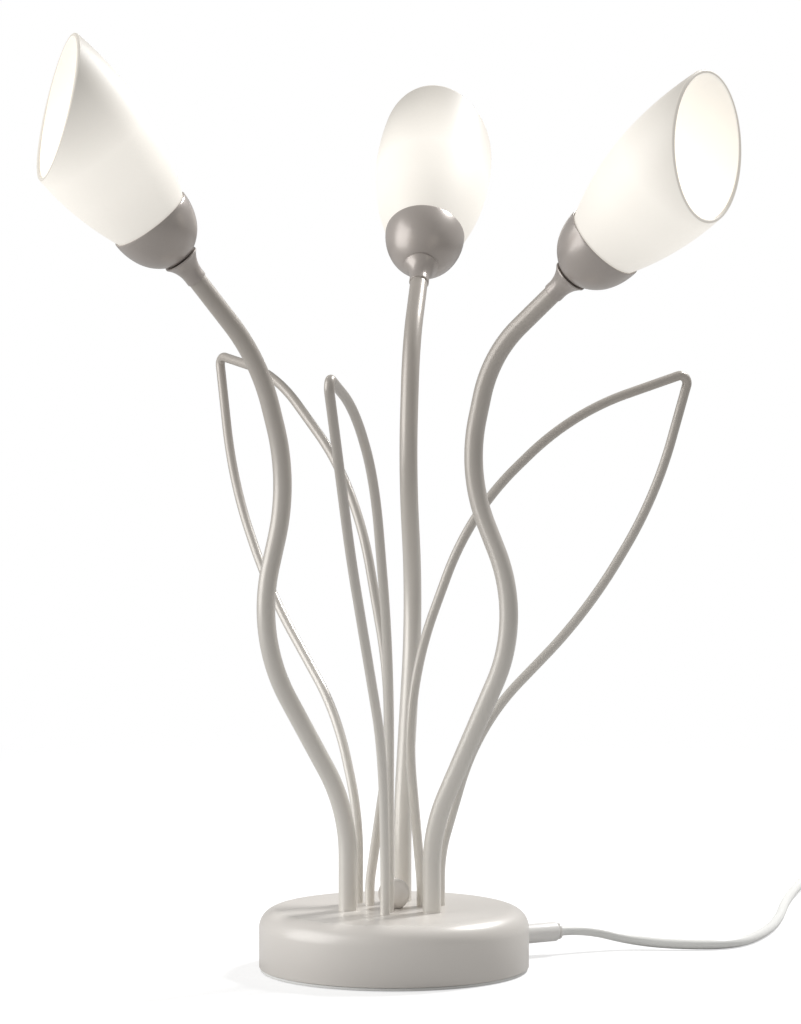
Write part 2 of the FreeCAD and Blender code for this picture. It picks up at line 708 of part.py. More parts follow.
# ================================================================ stems
stem_paths = {}
stem_ends = {}
foot_nipples = []
foot_nuts = []
foot_washers = []
head_nipples = []
head_nuts = []
for i in STEMS:
    get = lambda word: getattr(s, "stem_%d_%s" % (i, word))
    x, y = stem_feet[i]
    home = turned(stem_turns[i].value, x.value, y.value, s.base_top.value)
    lean = get("lean").value
    # The last run points along the head's axis, so its lower corner follows from the lean.
    knee_out = get("end_out") - get("top_run") * sine(get("lean"))
    knee_up = get("end_up") - get("top_run") * cosine(get("lean"))
    corners = [(0, 0), (0, get("first_up")), (get("belly_out"), get("belly_up")),
               (get("waist_out"), get("waist_up")), (knee_out, knee_up), (get("end_out"), get("end_up"))]
    body = new_body("stem_%d" % i, home)
    spine = path_sketch(body, "stem_%d_path" % i, corners, 0.46)
    doc.recompute()
    tube = circles(body, "XY_Plane", "stem_%d_section" % i, [(0, 0, s.tube_diameter / 2), (0, 0, bore_radius)])
    pipe_along(body, spine, tube, "stem_%d_tube" % i)
    flat = [V(number_of(a), 0, number_of(b)) for a, b in corners]
    stem_paths[i] = [home.multVec(p) for p in flat]
    head = FreeCAD.Placement(home.multVec(flat[-1]),
                             FreeCAD.Rotation(V(0, 0, 1), stem_turns[i].value) *
                             FreeCAD.Rotation(V(0, 1, 0), lean))
    stem_ends[i] = head
    # Foot nipple: a hollow threaded tube from the stem down through the cover, with washer and nut.
    drop = s.foot_nipple_drop
    nipple = take("foot_nipple_%d" % i,
                  cylinder("foot_nipple_out_%d" % i, nipple_radius, s.foot_nipple_grip + drop, x, y, s.base_top - drop),
                  cylinder("foot_nipple_bore_%d" % i, s.nipple_bore / 2, s.foot_nipple_grip + drop, x, y, s.base_top - drop))
    foot_nipples.append(nipple)
    washer_z = ceiling - s.foot_washer_thickness
    foot_washers.append(take("foot_washer_%d" % i,
                             cylinder("foot_washer_out_%d" % i, s.foot_washer_diameter / 2, s.foot_washer_thickness,
                                      x, y, washer_z),
                             cylinder("foot_washer_bore_%d" % i, nipple_radius + s.thread_gap,
                                      s.foot_washer_thickness, x, y, washer_z)))
    nut_z = washer_z - s.foot_nut_height
    foot_nuts.append(take("foot_nut_%d" % i,
                          hexagon("foot_nut_out_%d" % i, s.foot_nut_across, s.foot_nut_height, x, y, nut_z),
                          cylinder("foot_nut_bore_%d" % i, nipple_radius + s.thread_gap, s.foot_nut_height,
                                   x, y, nut_z)))
group("stem_foot_nipples", foot_nipples)
group("stem_foot_washers", foot_washers)
group("stem_foot_nuts", foot_nuts)

# ================================================================ leaves
leaf_nuts = []
for i in LEAVES:
    get = lambda word: getattr(s, "leaf_%d_%s" % (i, word))
    a = leaf_angles[i]
    home = turned(leaf_turns[i].value, (s.leaf_circle * cosine(a)).value,
                  (s.leaf_circle * sine(a)).value, s.base_top.value)
    corners = [(s.leaf_leg_offset, 0), (s.leaf_leg_offset, get("outer_up")), (get("bow_out"), get("bow_up")),
               (get("sweep_out"), get("sweep_up")), (get("rise_out"), get("rise_up")),
               (get("tip_out"), get("tip_up")), (get("crest_out"), get("crest_up")),
               (get("over_out"), get("over_up")), (-get("inner_in"), get("inner_up")),
               (-s.leaf_leg_offset, 12.0), (-s.leaf_leg_offset, 0)]
    body = new_body("leaf_%d" % i, home)
    spine = path_sketch(body, "leaf_%d_path" % i, corners, 0.46, {5: s.leaf_tip_bend.value})
    doc.recompute()
    rod = circles(body, "XY_Plane", "leaf_%d_section" % i, [(s.leaf_leg_offset, 0, s.rod_diameter / 2)])
    pipe_along(body, spine, rod, "leaf_%d_rod" % i)
    studs = circles(body, "XY_Plane", "leaf_%d_stud_rings" % i,
                    [(s.leaf_leg_offset, 0, s.rod_stud_diameter / 2), (-s.leaf_leg_offset, 0, s.rod_stud_diameter / 2)])
    pad(body, studs, "leaf_%d_studs" % i, s.rod_stud_length, backward=True)
    for k, (x, y) in enumerate(leaf_feet[i]):
        z = ceiling - s.leaf_nut_height
        turn = FreeCAD.Rotation(V(0, 0, 1), leaf_turns[i].value + 30)
        out = hexagon("leaf_nut_out_%d_%d" % (i, k), s.leaf_nut_across, s.leaf_nut_height, x, y, z, turn)
        bore = cylinder("leaf_nut_bore_%d_%d" % (i, k), s.rod_stud_diameter / 2 + s.thread_gap,
                        s.leaf_nut_height, x, y, z)
        leaf_nuts.append(take("leaf_nut_%d_%d" % (i, k), out, bore))
group("leaf_nuts", leaf_nuts)

# ================================================================ heads
# Every head piece is drawn about its own Z axis, from the end of the tube at zero.
cup_floor = s.ferrule_length
rim = cup_floor + s.cup_height
floor_in = cup_floor + s.cup_wall
holder_foot = floor_in + s.head_nut_height
flange_top = holder_foot + s.holder_flange_height
glass_bottom = flange_top + s.shade_play
ring_bottom = glass_bottom + s.glass_wall + s.shade_play
holder_top = holder_foot + s.holder_height
holder_radius = s.holder_diameter / 2
mouth = s.ferrule_mouth_diameter / 2
for i in STEMS:
    head = stem_ends[i]
    twist = FreeCAD.Placement(V(0, 0, 0), FreeCAD.Rotation(V(0, 0, 1), getattr(s, "stem_%d_twist" % i).value))

    ferrule = new_body("ferrule_%d" % i, head)
    foot = s.ferrule_foot_diameter / 2
    lip = 1.2
    revolve(ferrule, outline(ferrule, "XZ_Plane", "ferrule_%d_outline" % i, [
        (nipple_radius + s.thread_gap, 0), (foot, 0), (foot, lip + 1.0), (mouth, s.ferrule_length - 0.8),
        (mouth, s.ferrule_length), (nipple_radius + s.thread_gap, s.ferrule_length)],
        {2: (s.ferrule_flare, -1)}), "ferrule_%d_spin" % i)

    # Cup: the upper curve ends upright at the rim, and the lower one touches it at the shoulder.
    # With s and h from the shoulder to the rim, the upper radius is (s^2 + h^2) / (2 s). With a
    # and b from the foot to the shoulder, the lower one is (a^2 + b^2) / (2 (a cos - b sin)), where
    # cos and sin are those of the slope at the shoulder. The inside is one wall further in.
    cup = new_body("cup_%d" % i, head)
    w = s.cup_wall
    shoulder = cup_floor + s.cup_shoulder_height
    over = s.cup_rim_radius - s.cup_shoulder_radius
    up = s.cup_height - s.cup_shoulder_height
    whole = over * over + up * up
    slope_cos = (up * up - over * over) / whole
    slope_sin = over * up * 2 / whole
    upper_curve = whole / (over * 2)
    reach = s.cup_shoulder_radius - s.cup_foot_radius
    rise = s.cup_shoulder_height
    lower_curve = (reach * reach + rise * rise) / ((reach * slope_cos - rise * slope_sin) * 2)
    lower_in = lower_curve - w
    centre_out = s.cup_shoulder_radius - lower_curve * slope_cos
    centre_up = rise + lower_curve * slope_sin - w
    foot_in = centre_out + root(lower_in * lower_in - centre_up * centre_up)
    revolve(cup, outline(cup, "XZ_Plane", "cup_%d_outline" % i, [
        (nipple_radius + s.thread_gap, cup_floor), (s.cup_foot_radius, cup_floor),
        (s.cup_shoulder_radius, shoulder), (s.cup_rim_radius, rim),
        (s.cup_rim_radius - w, rim), (s.cup_shoulder_radius - w * slope_cos, shoulder + w * slope_sin),
        (foot_in, floor_in), (nipple_radius + s.thread_gap, floor_in)],
        {1: (lower_curve, 1), 2: (upper_curve, 1),
         4: (upper_curve - w, -1), 5: (lower_in, -1)}), "cup_%d_spin" % i)

    # Opal glass: drawn whole, then cut off on a slant with the long side toward the lamp's middle.
    shade = new_body("shade_%d" % i, head.multiply(twist))
    g = s.glass_wall
    seat = s.shade_seat_hole / 2
    belly = rim + s.shade_belly_height
    high = rim + s.shade_high_height
    # Two arcs meet upright at the belly: each has the radius (dr^2 + dz^2) / (2 dr).
    swell = s.shade_belly_radius - s.shade_neck_radius
    low_curve = (swell * swell + s.shade_belly_height * s.shade_belly_height) / (swell * 2)
    narrow = s.shade_belly_radius - s.shade_high_radius
    high_curve = (narrow * narrow + (high - belly) * (high - belly)) / (narrow * 2)
    revolve(shade, outline(shade, "XZ_Plane", "shade_%d_outline" % i, [
        (seat, glass_bottom), (s.shade_base_radius - 1.5, glass_bottom), (s.shade_base_radius, glass_bottom + 1.5),
        (s.shade_neck_radius, rim), (s.shade_belly_radius, belly),
        (s.shade_high_radius, high), (s.shade_high_radius - g, high), (s.shade_belly_radius - g, belly),
        (s.shade_neck_radius - g, rim), (s.shade_base_radius - g, glass_bottom + g), (seat, glass_bottom + g)],
        {1: (1.5, 1), 3: (low_curve, 1), 4: (high_curve, 1),
         6: (high_curve - g, -1), 7: (low_curve - g, -1)}), "shade_%d_spin" % i)
    cut_low = rim + s.shade_short_side
    cut_high = rim + s.shade_long_side
    wide = s.shade_belly_radius + 12.0
    slope = (cut_high - cut_low) / (s.shade_belly_radius + s.shade_high_radius)
    slant = outline(shade, "XZ_Plane", "shade_%d_slant" % i, [
        (wide, cut_low - (wide - s.shade_belly_radius) * slope),
        (wide, high + 30.0), (-wide, high + 30.0),
        (-wide, cut_high + (wide - s.shade_high_radius) * slope)])
    cut_through(shade, slant, "shade_%d_cut" % i)

    # Lampholder: a ceramic body with a flange under the glass and two sockets for the lamp's pins.
    holder = new_body("lampholder_%d" % i, head)
    lead_bore = s.nipple_bore / 2
    revolve(holder, outline(holder, "XZ_Plane", "holder_%d_outline" % i, [
        (0, holder_foot + 5.0), (lead_bore, holder_foot + 5.0), (lead_bore, holder_foot + 4.0),
        (nipple_radius + s.thread_gap, holder_foot + 4.0), (nipple_radius + s.thread_gap, holder_foot),
        (holder_radius, holder_foot), (holder_radius, flange_top - s.holder_flange_thickness),
        (s.holder_flange_diameter / 2, flange_top - s.holder_flange_thickness),
        (s.holder_flange_diameter / 2, flange_top), (holder_radius, flange_top),
        (holder_radius, holder_top), (0, holder_top)]), "holder_%d_spin" % i)
    sockets = circles(holder, "XY_Plane", "holder_%d_sockets" % i, [
        (s.bulb_pin_spacing / 2, 0, s.bulb_pin_diameter / 2 + 0.15),
        (-s.bulb_pin_spacing / 2, 0, s.bulb_pin_diameter / 2 + 0.15)])
    sockets.AttachmentOffset = FreeCAD.Placement(V(0, 0, holder_top.value), FreeCAD.Rotation())
    sockets.setExpression("AttachmentOffset.Base.z", holder_top.text)
    cut_deep(holder, sockets, "holder_%d_socket_drill" % i, s.bulb_pin_length + 0.5)

    # Ring that holds the glass on the flange.
    ring = new_body("shade_ring_%d" % i, head)
    revolve(ring, outline(ring, "XZ_Plane", "ring_%d_outline" % i, [
        (holder_radius + s.thread_gap, ring_bottom), (s.ring_diameter / 2, ring_bottom),
        (s.ring_diameter / 2, ring_bottom + s.ring_height - 0.8),
        (s.ring_diameter / 2 - 0.8, ring_bottom + s.ring_height),
        (holder_radius + s.thread_gap, ring_bottom + s.ring_height)]), "ring_%d_spin" % i)

    # Lamp with two pins: flat ceramic foot, round glass with a domed end.
    bulb = new_body("bulb_%d" % i, head)
    base_top = holder_top + s.bulb_base_height
    bulb_radius = s.bulb_diameter / 2
    tip = holder_top + s.bulb_base_height + s.bulb_length
    wide_half = s.bulb_base_width / 2
    deep_half = s.bulb_base_depth / 2
    foot_plan = outline(bulb, "XY_Plane", "bulb_%d_foot_plan" % i, [
        (-wide_half, -deep_half), (wide_half, -deep_half), (wide_half, deep_half), (-wide_half, deep_half)])
    foot_plan.AttachmentOffset = FreeCAD.Placement(V(0, 0, holder_top.value), FreeCAD.Rotation())
    foot_plan.setExpression("AttachmentOffset.Base.z", holder_top.text)
    pad(bulb, foot_plan, "bulb_%d_foot" % i, s.bulb_base_height)
    revolve(bulb, outline(bulb, "XZ_Plane", "bulb_%d_glass_outline" % i, [
        (0, base_top - 1.0), (bulb_radius * 0.7, base_top - 1.0), (bulb_radius, base_top + 2.0),
        (bulb_radius, tip - bulb_radius), (bulb_radius * 0.7, tip - bulb_radius * 0.3), (0, tip)],
        {3: (bulb_radius, 1)}), "bulb_%d_glass" % i)
    pins = circles(bulb, "XY_Plane", "bulb_%d_pin_rings" % i, [
        (s.bulb_pin_spacing / 2, 0, s.bulb_pin_diameter / 2), (-s.bulb_pin_spacing / 2, 0, s.bulb_pin_diameter / 2)])
    pins.AttachmentOffset = FreeCAD.Placement(V(0, 0, holder_top.value), FreeCAD.Rotation())
    pins.setExpression("AttachmentOffset.Base.z", holder_top.text)
    pad(bulb, pins, "bulb_%d_pins" % i, s.bulb_pin_length, backward=True)

    # Head nipple and the nut that clamps the cup on the ferrule.
    start = head.multVec(V(0, 0, -s.head_nipple_grip.value))
    long = s.head_nipple_grip + holder_foot + 4.0
    turn = head.Rotation
    out = cylinder("head_nipple_out_%d" % i, nipple_radius, long, start.x, start.y, start.z, turn)
    bore = cylinder("head_nipple_bore_%d" % i, s.nipple_bore / 2, long, start.x, start.y, start.z, turn)
    head_nipples.append(take("head_nipple_%d" % i, out, bore))
    at = head.multVec(V(0, 0, floor_in.value))
    nut = hexagon("head_nut_out_%d" % i, s.head_nut_across, s.head_nut_height, at.x, at.y, at.z, turn)
    nut_bore = cylinder("head_nut_bore_%d" % i, nipple_radius + s.thread_gap, s.head_nut_height, at.x, at.y, at.z, turn)
    head_nuts.append(take("head_nut_%d" % i, nut, nut_bore))
group("head_nipples", head_nipples)
group("head_nuts", head_nuts)

# ================================================================ mains inlet inside the base
cord_radius = s.cord_diameter / 2
lead_radius = s.lead_diameter / 2
level = s.gland_height
outward = FreeCAD.Rotation(V(0, 0, 1), s.gland_angle.value) * FreeCAD.Rotation(V(0, 1, 0), 90)


def on_gland(reach, side=0.0, height=None):
    """A point of the space inside the base, in gland directions."""
    x, y = by_gland(Size.of(reach), Size.of(side))
    return x, y, level if height is None else height


# Gland: a sleeve outside the wall, a thread through it, a small end ring.
gland = new_body("strain_relief", FreeCAD.Placement(V(0, 0, level.value), outward))
sleeve = s.gland_diameter / 2
cord_hole = cord_radius + s.thread_gap
end_ring = s.gland_ring_diameter / 2
revolve(gland, outline(gland, "XZ_Plane", "gland_outline", [
    (cord_hole, s.gland_inner_reach), (gland_thread, s.gland_inner_reach), (gland_thread, base_radius + 0.2),
    (sleeve, base_radius + 0.2), (sleeve, s.gland_reach - 0.8), (sleeve - 0.8, s.gland_reach),
    (end_ring - 0.9, s.gland_reach), (end_ring - 0.9, s.gland_reach + 0.9), (end_ring, s.gland_reach + 1.2),
    (end_ring, s.gland_reach + s.gland_ring_length - 0.5), (end_ring - 0.6, s.gland_reach + s.gland_ring_length),
    (cord_hole, s.gland_reach + s.gland_ring_length)]), "gland_spin")
nut_reach = inner_radius - s.gland_nut_thickness - 0.4
x, y, z = on_gland(nut_reach)
keep("gland_nut", take("gland_nut_cut",
                       hexagon("gland_nut_out", s.gland_nut_across, s.gland_nut_thickness, x, y, z, outward),
                       cylinder("gland_nut_bore", gland_thread + s.thread_gap, s.gland_nut_thickness, x, y, z, outward)))

# Clamp on the lead, and its two screws into the plate.
x, y, z = on_gland(s.clamp_reach - s.clamp_length / 2, -s.clamp_width / 2, plate_top)
clamp = block("clamp_block", s.clamp_length, s.clamp_width, s.clamp_height, x, y, z, gland_turn)
x, y, z = on_gland(s.clamp_reach - s.clamp_length / 2)
clamp_tools = [cylinder("clamp_bore", cord_hole, s.clamp_length, x, y, z, outward)]
clamp_screws = []
for k, (x, y) in enumerate(clamp_spots):
    clamp_tools.append(cylinder("clamp_hole_%d" % k, s.small_screw_diameter / 2 + s.thread_gap, s.clamp_height,
                                x, y, plate_top))
    shank = cylinder("clamp_screw_shank_%d" % k, s.small_screw_diameter / 2, s.plate_thickness + s.clamp_height,
                     x, y, pad_top)
    head = cylinder("clamp_screw_head_%d" % k, s.small_screw_head / 2, s.small_screw_head_height,
                    x, y, plate_top + s.clamp_height)
    clamp_screws.append(join("clamp_screw_%d" % k, shank, head))
keep("cord_clamp", take("clamp_cut", clamp, join("clamp_tools", *clamp_tools)))
group("clamp_screws", clamp_screws)

# Terminal block, held by two screws.
x, y, z = on_gland(s.block_reach - s.block_length / 2, -s.block_width / 2, plate_top)
terminal = block("block_body", s.block_length, s.block_width, s.block_height, x, y, z, gland_turn)
block_tools = []
block_screws = []
for k, (x, y) in enumerate(block_spots):
    block_tools.append(cylinder("block_hole_%d" % k, s.small_screw_diameter / 2 + s.thread_gap, s.block_height,
                                x, y, plate_top))
    shank = cylinder("block_screw_shank_%d" % k, s.small_screw_diameter / 2, s.plate_thickness + s.block_height,
                     x, y, pad_top)
    head = cylinder("block_screw_head_%d" % k, s.small_screw_head / 2, s.small_screw_head_height * 0.7,
                    x, y, plate_top + s.block_height)
    block_screws.append(join("block_screw_%d" % k, shank, head))
keep("terminal_block", take("block_cut", terminal, join("block_tools", *block_tools)))
group("terminal_screws", block_screws)
doc.recompute()

# The lead's inner end, from the block to the mouth of the gland.
cord_start = s.block_reach + s.block_length / 2
cord_exit = s.gland_reach + s.gland_ring_length
x, y, z = on_gland(cord_start)
keep("cord_inner_end", cylinder("cord_inside", cord_radius, cord_exit - cord_start, x, y, z, outward))

# Two-core leads: from the block, up through each stem into its lampholder.
block_box = doc.getObject("block_body").Shape
lead_level = plate_top.value + 5.4
entries = {1: on_gland(s.block_reach - 3.4, -s.block_width / 2 + 2.0),
           2: on_gland(s.block_reach, s.block_width / 2 - 2.0),
           3: on_gland(s.block_reach + 3.6, -s.block_width / 2 + 2.0)}
ways = {1: [(-9.0, -19.0), (9.0, -17.5)], 2: [], 3: []}
lead_shapes = {}
for i in STEMS:
    x, y, z = entries[i]
    points = [V(x.value, y.value, lead_level)]
    points += [V(a, b, lead_level) for a, b in reversed(ways[i])]
    foot = stem_paths[i][0]
    points.append(V(foot.x, foot.y, lead_level))
    points += stem_paths[i][1:5]
    points.append(stem_ends[i].multVec(V(0, 0, holder_foot.value + 5.0)))
    # The bends above the base repeat the tube's own bends.
    tube_bends = [b[0] for b in bends(stem_paths[i], 0.46)]
    count = len(points)
    fixed = {count - 5 + k: radius for k, radius in enumerate(tube_bends)}
    fixed[count - 6] = 5.0
    wire, radii = bent_wire(points, 0.45, fixed)
    thing, shape = plain("stem_lead_%d" % i, swept(wire, lead_radius).cut(block_box))
    thing.Shape = shape
    lead_shapes[i] = shape

# ================================================================ mains lead outside
# Control points of the free stretch, from the gland's mouth to the switch: it drops to the
# floor, bows toward the front, then turns to the rear and goes off to the right.
mouth_point = V(*[c.value for c in on_gland(cord_exit)])
gland_way = V(along_gland[0].value, along_gland[1].value, 0)
lie = s.cord_diameter.value / 2
switch_way = V(0.45, 0.893, 0).normalize()
switch_side = V(switch_way.y, -switch_way.x, 0)
switch_at = V(260.6, 333.3, 0)
pitch = s.coil_pitch.value
coil_low = s.coil_lift.value + lie
coil_high = coil_low + pitch
switch_in = switch_at + V(0, 0, coil_high)              # the lead goes straight on into the coil
free_points = [
    mouth_point,
    mouth_point + gland_way * 16.0,
    V(126.0, 67.0, lie + 2.0),
    V(150.0, 62.0, lie + 0.3),
    V(183.5, 65.0, lie),
    V(203.0, 108.0, lie),
    V(215.0, 160.0, lie),
    V(224.0, 222.0, lie),
    V(235.0, 274.0, lie),
    switch_in - switch_way * 22.0,
    switch_in,
]
wire, radii = bent_wire(free_points)
print("free stretch: length %.0f, radii %s" % (wire.Length, " ".join("%.0f" % r for r in radii)))
print("   runs %s" % " ".join("%.0f" % (free_points[k + 1] - free_points[k]).Length for k in range(len(free_points) - 1)))
free_length = wire.Length
thing, shape = plain("mains_cord", swept(wire, lie))
thing.Shape = shape

# Coil: two layers, spiralling in and out again, entered straight from the switch.
switch_out = switch_in + switch_way * s.switch_length.value
turns = 3.5
outer = s.coil_mean_radius.value + pitch * turns / 2
inner = outer - pitch * turns
entry = switch_out + switch_way * 23.0
coil_centre = entry + switch_side * outer
first_angle = math.atan2(-switch_side.y, -switch_side.x)


def coil_point(t):
    """Place and direction after t turns: in on the upper layer, half a turn of going down where
    the spiral turns round, out on the lower layer. The coil runs clockwise, seen from above."""
    angle = first_angle - 2 * math.pi * t
    if t <= turns:
        radius, rate = outer - pitch * t, -pitch
    elif t <= turns + 0.5:
        share = t - turns
        radius, rate = inner - pitch * (share - 2 * share * share), -pitch * (1 - 4 * share)
    else:
        radius, rate = inner + pitch * (t - turns - 0.5), pitch
    rise = min(max((t - turns) / 0.5, 0.0), 1.0)
    z = coil_low + pitch * (0.5 + 0.5 * math.cos(math.pi * rise))
    climb = -pitch * 0.5 * math.pi / 0.5 * math.sin(math.pi * rise)
    out = V(math.cos(angle), math.sin(angle), 0)
    side = V(math.sin(angle), -math.cos(angle), 0)
    place = V(coil_centre.x, coil_centre.y, 0) + out * radius + V(0, 0, z)
    way = side * (2 * math.pi * radius) + out * rate + V(0, 0, climb)
    if t <= 0 or t >= 2 * turns + 0.5:
        way = side
    return place, way.normalize()


def arc_from(start, way, end):
    """The arc that leaves start in a direction and reaches end."""
    chord = end - start
    flat = chord - way * chord.dot(way)
    if flat.Length < 1e-6:
        return Part.LineSegment(start, end).toShape()
    normal = V(flat).normalize()
    radius = chord.dot(chord) / (2 * chord.dot(normal))
    centre = start + normal * radius
    middle = centre + ((start + end) * 0.5 - centre).normalize() * abs(radius)
    return Part.Arc(start, middle, end).toShape()


def two_arcs(a, way_a, b, way_b):
    """Two arcs that join two places and keep both directions."""
    gap = b - a
    total = way_a + way_b
    k = 2 * (1 - way_a.dot(way_b))
    half = gap.dot(total)
    step = (-half + math.sqrt(half * half + k * gap.dot(gap))) / k
    knee = (a + b + (way_a - way_b) * step) * 0.5
    first = arc_from(a, way_a, knee)
    back = arc_from(b, way_b * -1, knee)
    ends = back.Vertexes[0].Point, back.valueAt((back.FirstParameter + back.LastParameter) / 2), back.Vertexes[-1].Point
    return [first, Part.Arc(ends[2], ends[1], ends[0]).toShape()]


samples = [k * 0.25 for k in range(int((2 * turns + 0.5) * 4) + 1)]
places = [coil_point(t) for t in samples]
straight = s.cord_diameter.value
edges = [Part.LineSegment(places[0][0] - places[0][1] * straight, places[0][0]).toShape()]
for k in range(len(places) - 1):
    edges += two_arcs(places[k][0], places[k][1], places[k + 1][0], places[k + 1][1])
edges.append(Part.LineSegment(places[-1][0], places[-1][0] + places[-1][1] * straight).toShape())
coil_wire = Part.Wire(edges)
coil_solid = coil_wire.makePipeShell(
    [Part.Wire([Part.Circle(places[0][0] - places[0][1] * straight, places[0][1], lie).toShape()])], True, False)
expected = math.pi * lie * lie * coil_wire.Length
print("coil: length %.0f, volume %.0f of %.0f, across the middle of its turns %.1f, outside %.1f"
      % (coil_wire.Length, coil_solid.Volume, expected, 2 * s.coil_mean_radius.value, 2 * (outer + lie)))
marks = []
run = 0.0
for edge_piece in coil_wire.OrderedEdges:
    count = max(2, int(edge_piece.Length / 1.5))
    for p in edge_piece.discretize(count)[:-1]:
        marks.append((run, p))
        run += edge_piece.Length / (count - 1)
least = 1e9
for a in range(0, len(marks), 2):
    for b in range(a + 1, len(marks)):
        if marks[b][0] - marks[a][0] > 3.2 * s.cord_diameter.value:
            gap = marks[a][1].distanceToPoint(marks[b][1]) - s.cord_diameter.value
            least = min(least, gap)
print("coil: least gap to itself %.2f" % least)
if least <= 0.4:
    raise RuntimeError("the coil's turns touch")
thing, shape = plain("mains_cord_coil", coil_solid)
thing.Shape = shape

# From the switch to the coil.
coil_in = places[0][0] - places[0][1] * straight
wire = Part.Wire([Part.LineSegment(switch_out, coil_in).toShape()])
print("link: length %.0f" % wire.Length)
link_length = wire.Length
thing, shape = plain("mains_cord_link", swept(wire, lie))
thing.Shape = shape

# From the coil to the plug, which lies flat on the floor.
coil_out = places[-1][0] + places[-1][1] * straight
back_way = places[-1][1]
plug_mid = s.plug_thickness / 2
plug_tail = coil_out + back_way * 34.0
plug_tail.z = plug_mid.value
tail_points = [coil_out, coil_out + back_way * 10.0, plug_tail - back_way * 10.0, plug_tail]
wire, radii = bent_wire(tail_points)
print("tail: length %.0f, radii %s" % (wire.Length, " ".join("%.0f" % r for r in radii)))
thing, shape = plain("mains_cord_tail", swept(wire, lie))
thing.Shape = shape
print("whole lead outside the gland: %.0f"
      % (free_length + s.switch_length.value + link_length + coil_wire.Length + wire.Length))

# Tie: a band round the bundle of turns, across the coil.
tie_angle = math.degrees(first_angle) + 90
tie_home = turned(tie_angle, coil_centre.x, coil_centre.y, 0)
tie = new_body("cord_tie", tie_home)
# Where the band sits the turns reach from an eighth of a pitch inside the smallest one to
# three quarters of a pitch inside the largest.
reach_in = s.coil_mean_radius - s.coil_pitch * (turns / 2 + 0.125) - cord_radius - s.tie_gap - 0.8
reach_out = s.coil_mean_radius + s.coil_pitch * (turns / 2 - 0.75) + cord_radius + s.tie_gap + 0.2
band = s.tie_thickness
band_low = s.coil_lift - s.tie_gap
band_high = s.coil_lift + s.cord_diameter + s.coil_pitch + s.tie_gap
band_outer = outline(tie, "XZ_Plane", "tie_outline", [
    (reach_in - band, band_low - band), (reach_out + band, band_low - band),
    (reach_out + band, band_high + band), (reach_in - band, band_high + band)])
pad(tie, band_outer, "tie_block", s.tie_width, both_ways=True)
band_inner = outline(tie, "XZ_Plane", "tie_inside", [
    (reach_in, band_low), (reach_out, band_low), (reach_out, band_high), (reach_in, band_high)])
cut_through(tie, band_inner, "tie_cut")

# ================================================================ in-line switch
switch_home = FreeCAD.Placement(V(switch_at.x, switch_at.y, 0),
                                FreeCAD.Rotation(V(0, 0, 1), math.degrees(math.atan2(switch_way.y, switch_way.x))))
half_height = s.switch_height / 2
half_width = s.switch_width / 2
nose = 7.0
plan = [(0, -(half_width - nose)), (nose, -half_width), (s.switch_length - nose, -half_width),
        (s.switch_length, -(half_width - nose)), (s.switch_length, half_width - nose),
        (s.switch_length - nose, half_width), (nose, half_width), (0, half_width - nose)]
wall = s.switch_wall
inside = [(wall, -(half_width - nose)), (nose + 0.8, -(half_width - wall)),
          (s.switch_length - nose - 0.8, -(half_width - wall)), (s.switch_length - wall, -(half_width - nose)),
          (s.switch_length - wall, half_width - nose), (s.switch_length - nose - 0.8, half_width - wall),
          (nose + 0.8, half_width - wall), (wall, half_width - nose)]
screw_in = 8.6
middle = s.switch_length / 2
post = 3.0
lower = new_body("switch_lower", switch_home)
pad(lower, outline(lower, "XY_Plane", "lower_plan", plan), "lower_block", half_height)
well = outline(lower, "XY_Plane", "lower_well", inside)
well.AttachmentOffset = FreeCAD.Placement(V(0, 0, wall.value), FreeCAD.Rotation())
well.setExpression("AttachmentOffset.Base.z", wall.text)
cut_deep(lower, well, "lower_hollow", half_height, backward=True)
posts = circles(lower, "XY_Plane", "lower_posts", [(screw_in, 0, post), (s.switch_length - screw_in, 0, post)])
pad(lower, posts, "lower_bosses", half_height)
taps = circles(lower, "XY_Plane", "lower_taps", [(screw_in, 0, s.small_screw_diameter / 2 + s.thread_gap),
                                                (s.switch_length - screw_in, 0,
                                                 s.small_screw_diameter / 2 + s.thread_gap)])
cut_through(lower, taps, "lower_drill")

upper_home = switch_home.multiply(FreeCAD.Placement(V(0, 0, half_height.value), FreeCAD.Rotation()))
upper = new_body("switch_upper", upper_home)
pad(upper, outline(upper, "XY_Plane", "upper_plan", plan), "upper_block", half_height)
cut_deep(upper, outline(upper, "XY_Plane", "upper_well", inside), "upper_hollow", half_height - wall, backward=True)
opening_half = s.rocker_length / 2 + s.rocker_gap
opening_side = s.rocker_width / 2 + s.fit_gap
window = outline(upper, "XY_Plane", "upper_window", [
    (middle - opening_half, -opening_side), (middle + opening_half, -opening_side),
    (middle + opening_half, opening_side), (middle - opening_half, opening_side)])
cut_through(upper, window, "upper_opening")
cheek = 2.0
cheeks = outline(upper, "XZ_Plane", "upper_cheek_plan", [
    (middle - 4.0, 0.6), (middle + 4.0, 0.6), (middle + 4.0, half_height - wall + 0.2),
    (middle - 4.0, half_height - wall + 0.2)])
cheeks.AttachmentOffset = FreeCAD.Placement(V(0, 0, opening_side.value), FreeCAD.Rotation())
cheeks.setExpression("AttachmentOffset.Base.z", opening_side.text)
pad(upper, cheeks, "upper_cheek_one", cheek)
cheeks = outline(upper, "XZ_Plane", "upper_cheek_plan_b", [
    (middle - 4.0, 0.6), (middle + 4.0, 0.6), (middle + 4.0, half_height - wall + 0.2),
    (middle - 4.0, half_height - wall + 0.2)])
cheeks.AttachmentOffset = FreeCAD.Placement(V(0, 0, -opening_side.value), FreeCAD.Rotation())
cheeks.setExpression("AttachmentOffset.Base.z", (-opening_side).text)
pad(upper, cheeks, "upper_cheek_two", cheek, backward=True)
axle_level = half_height - 3.6
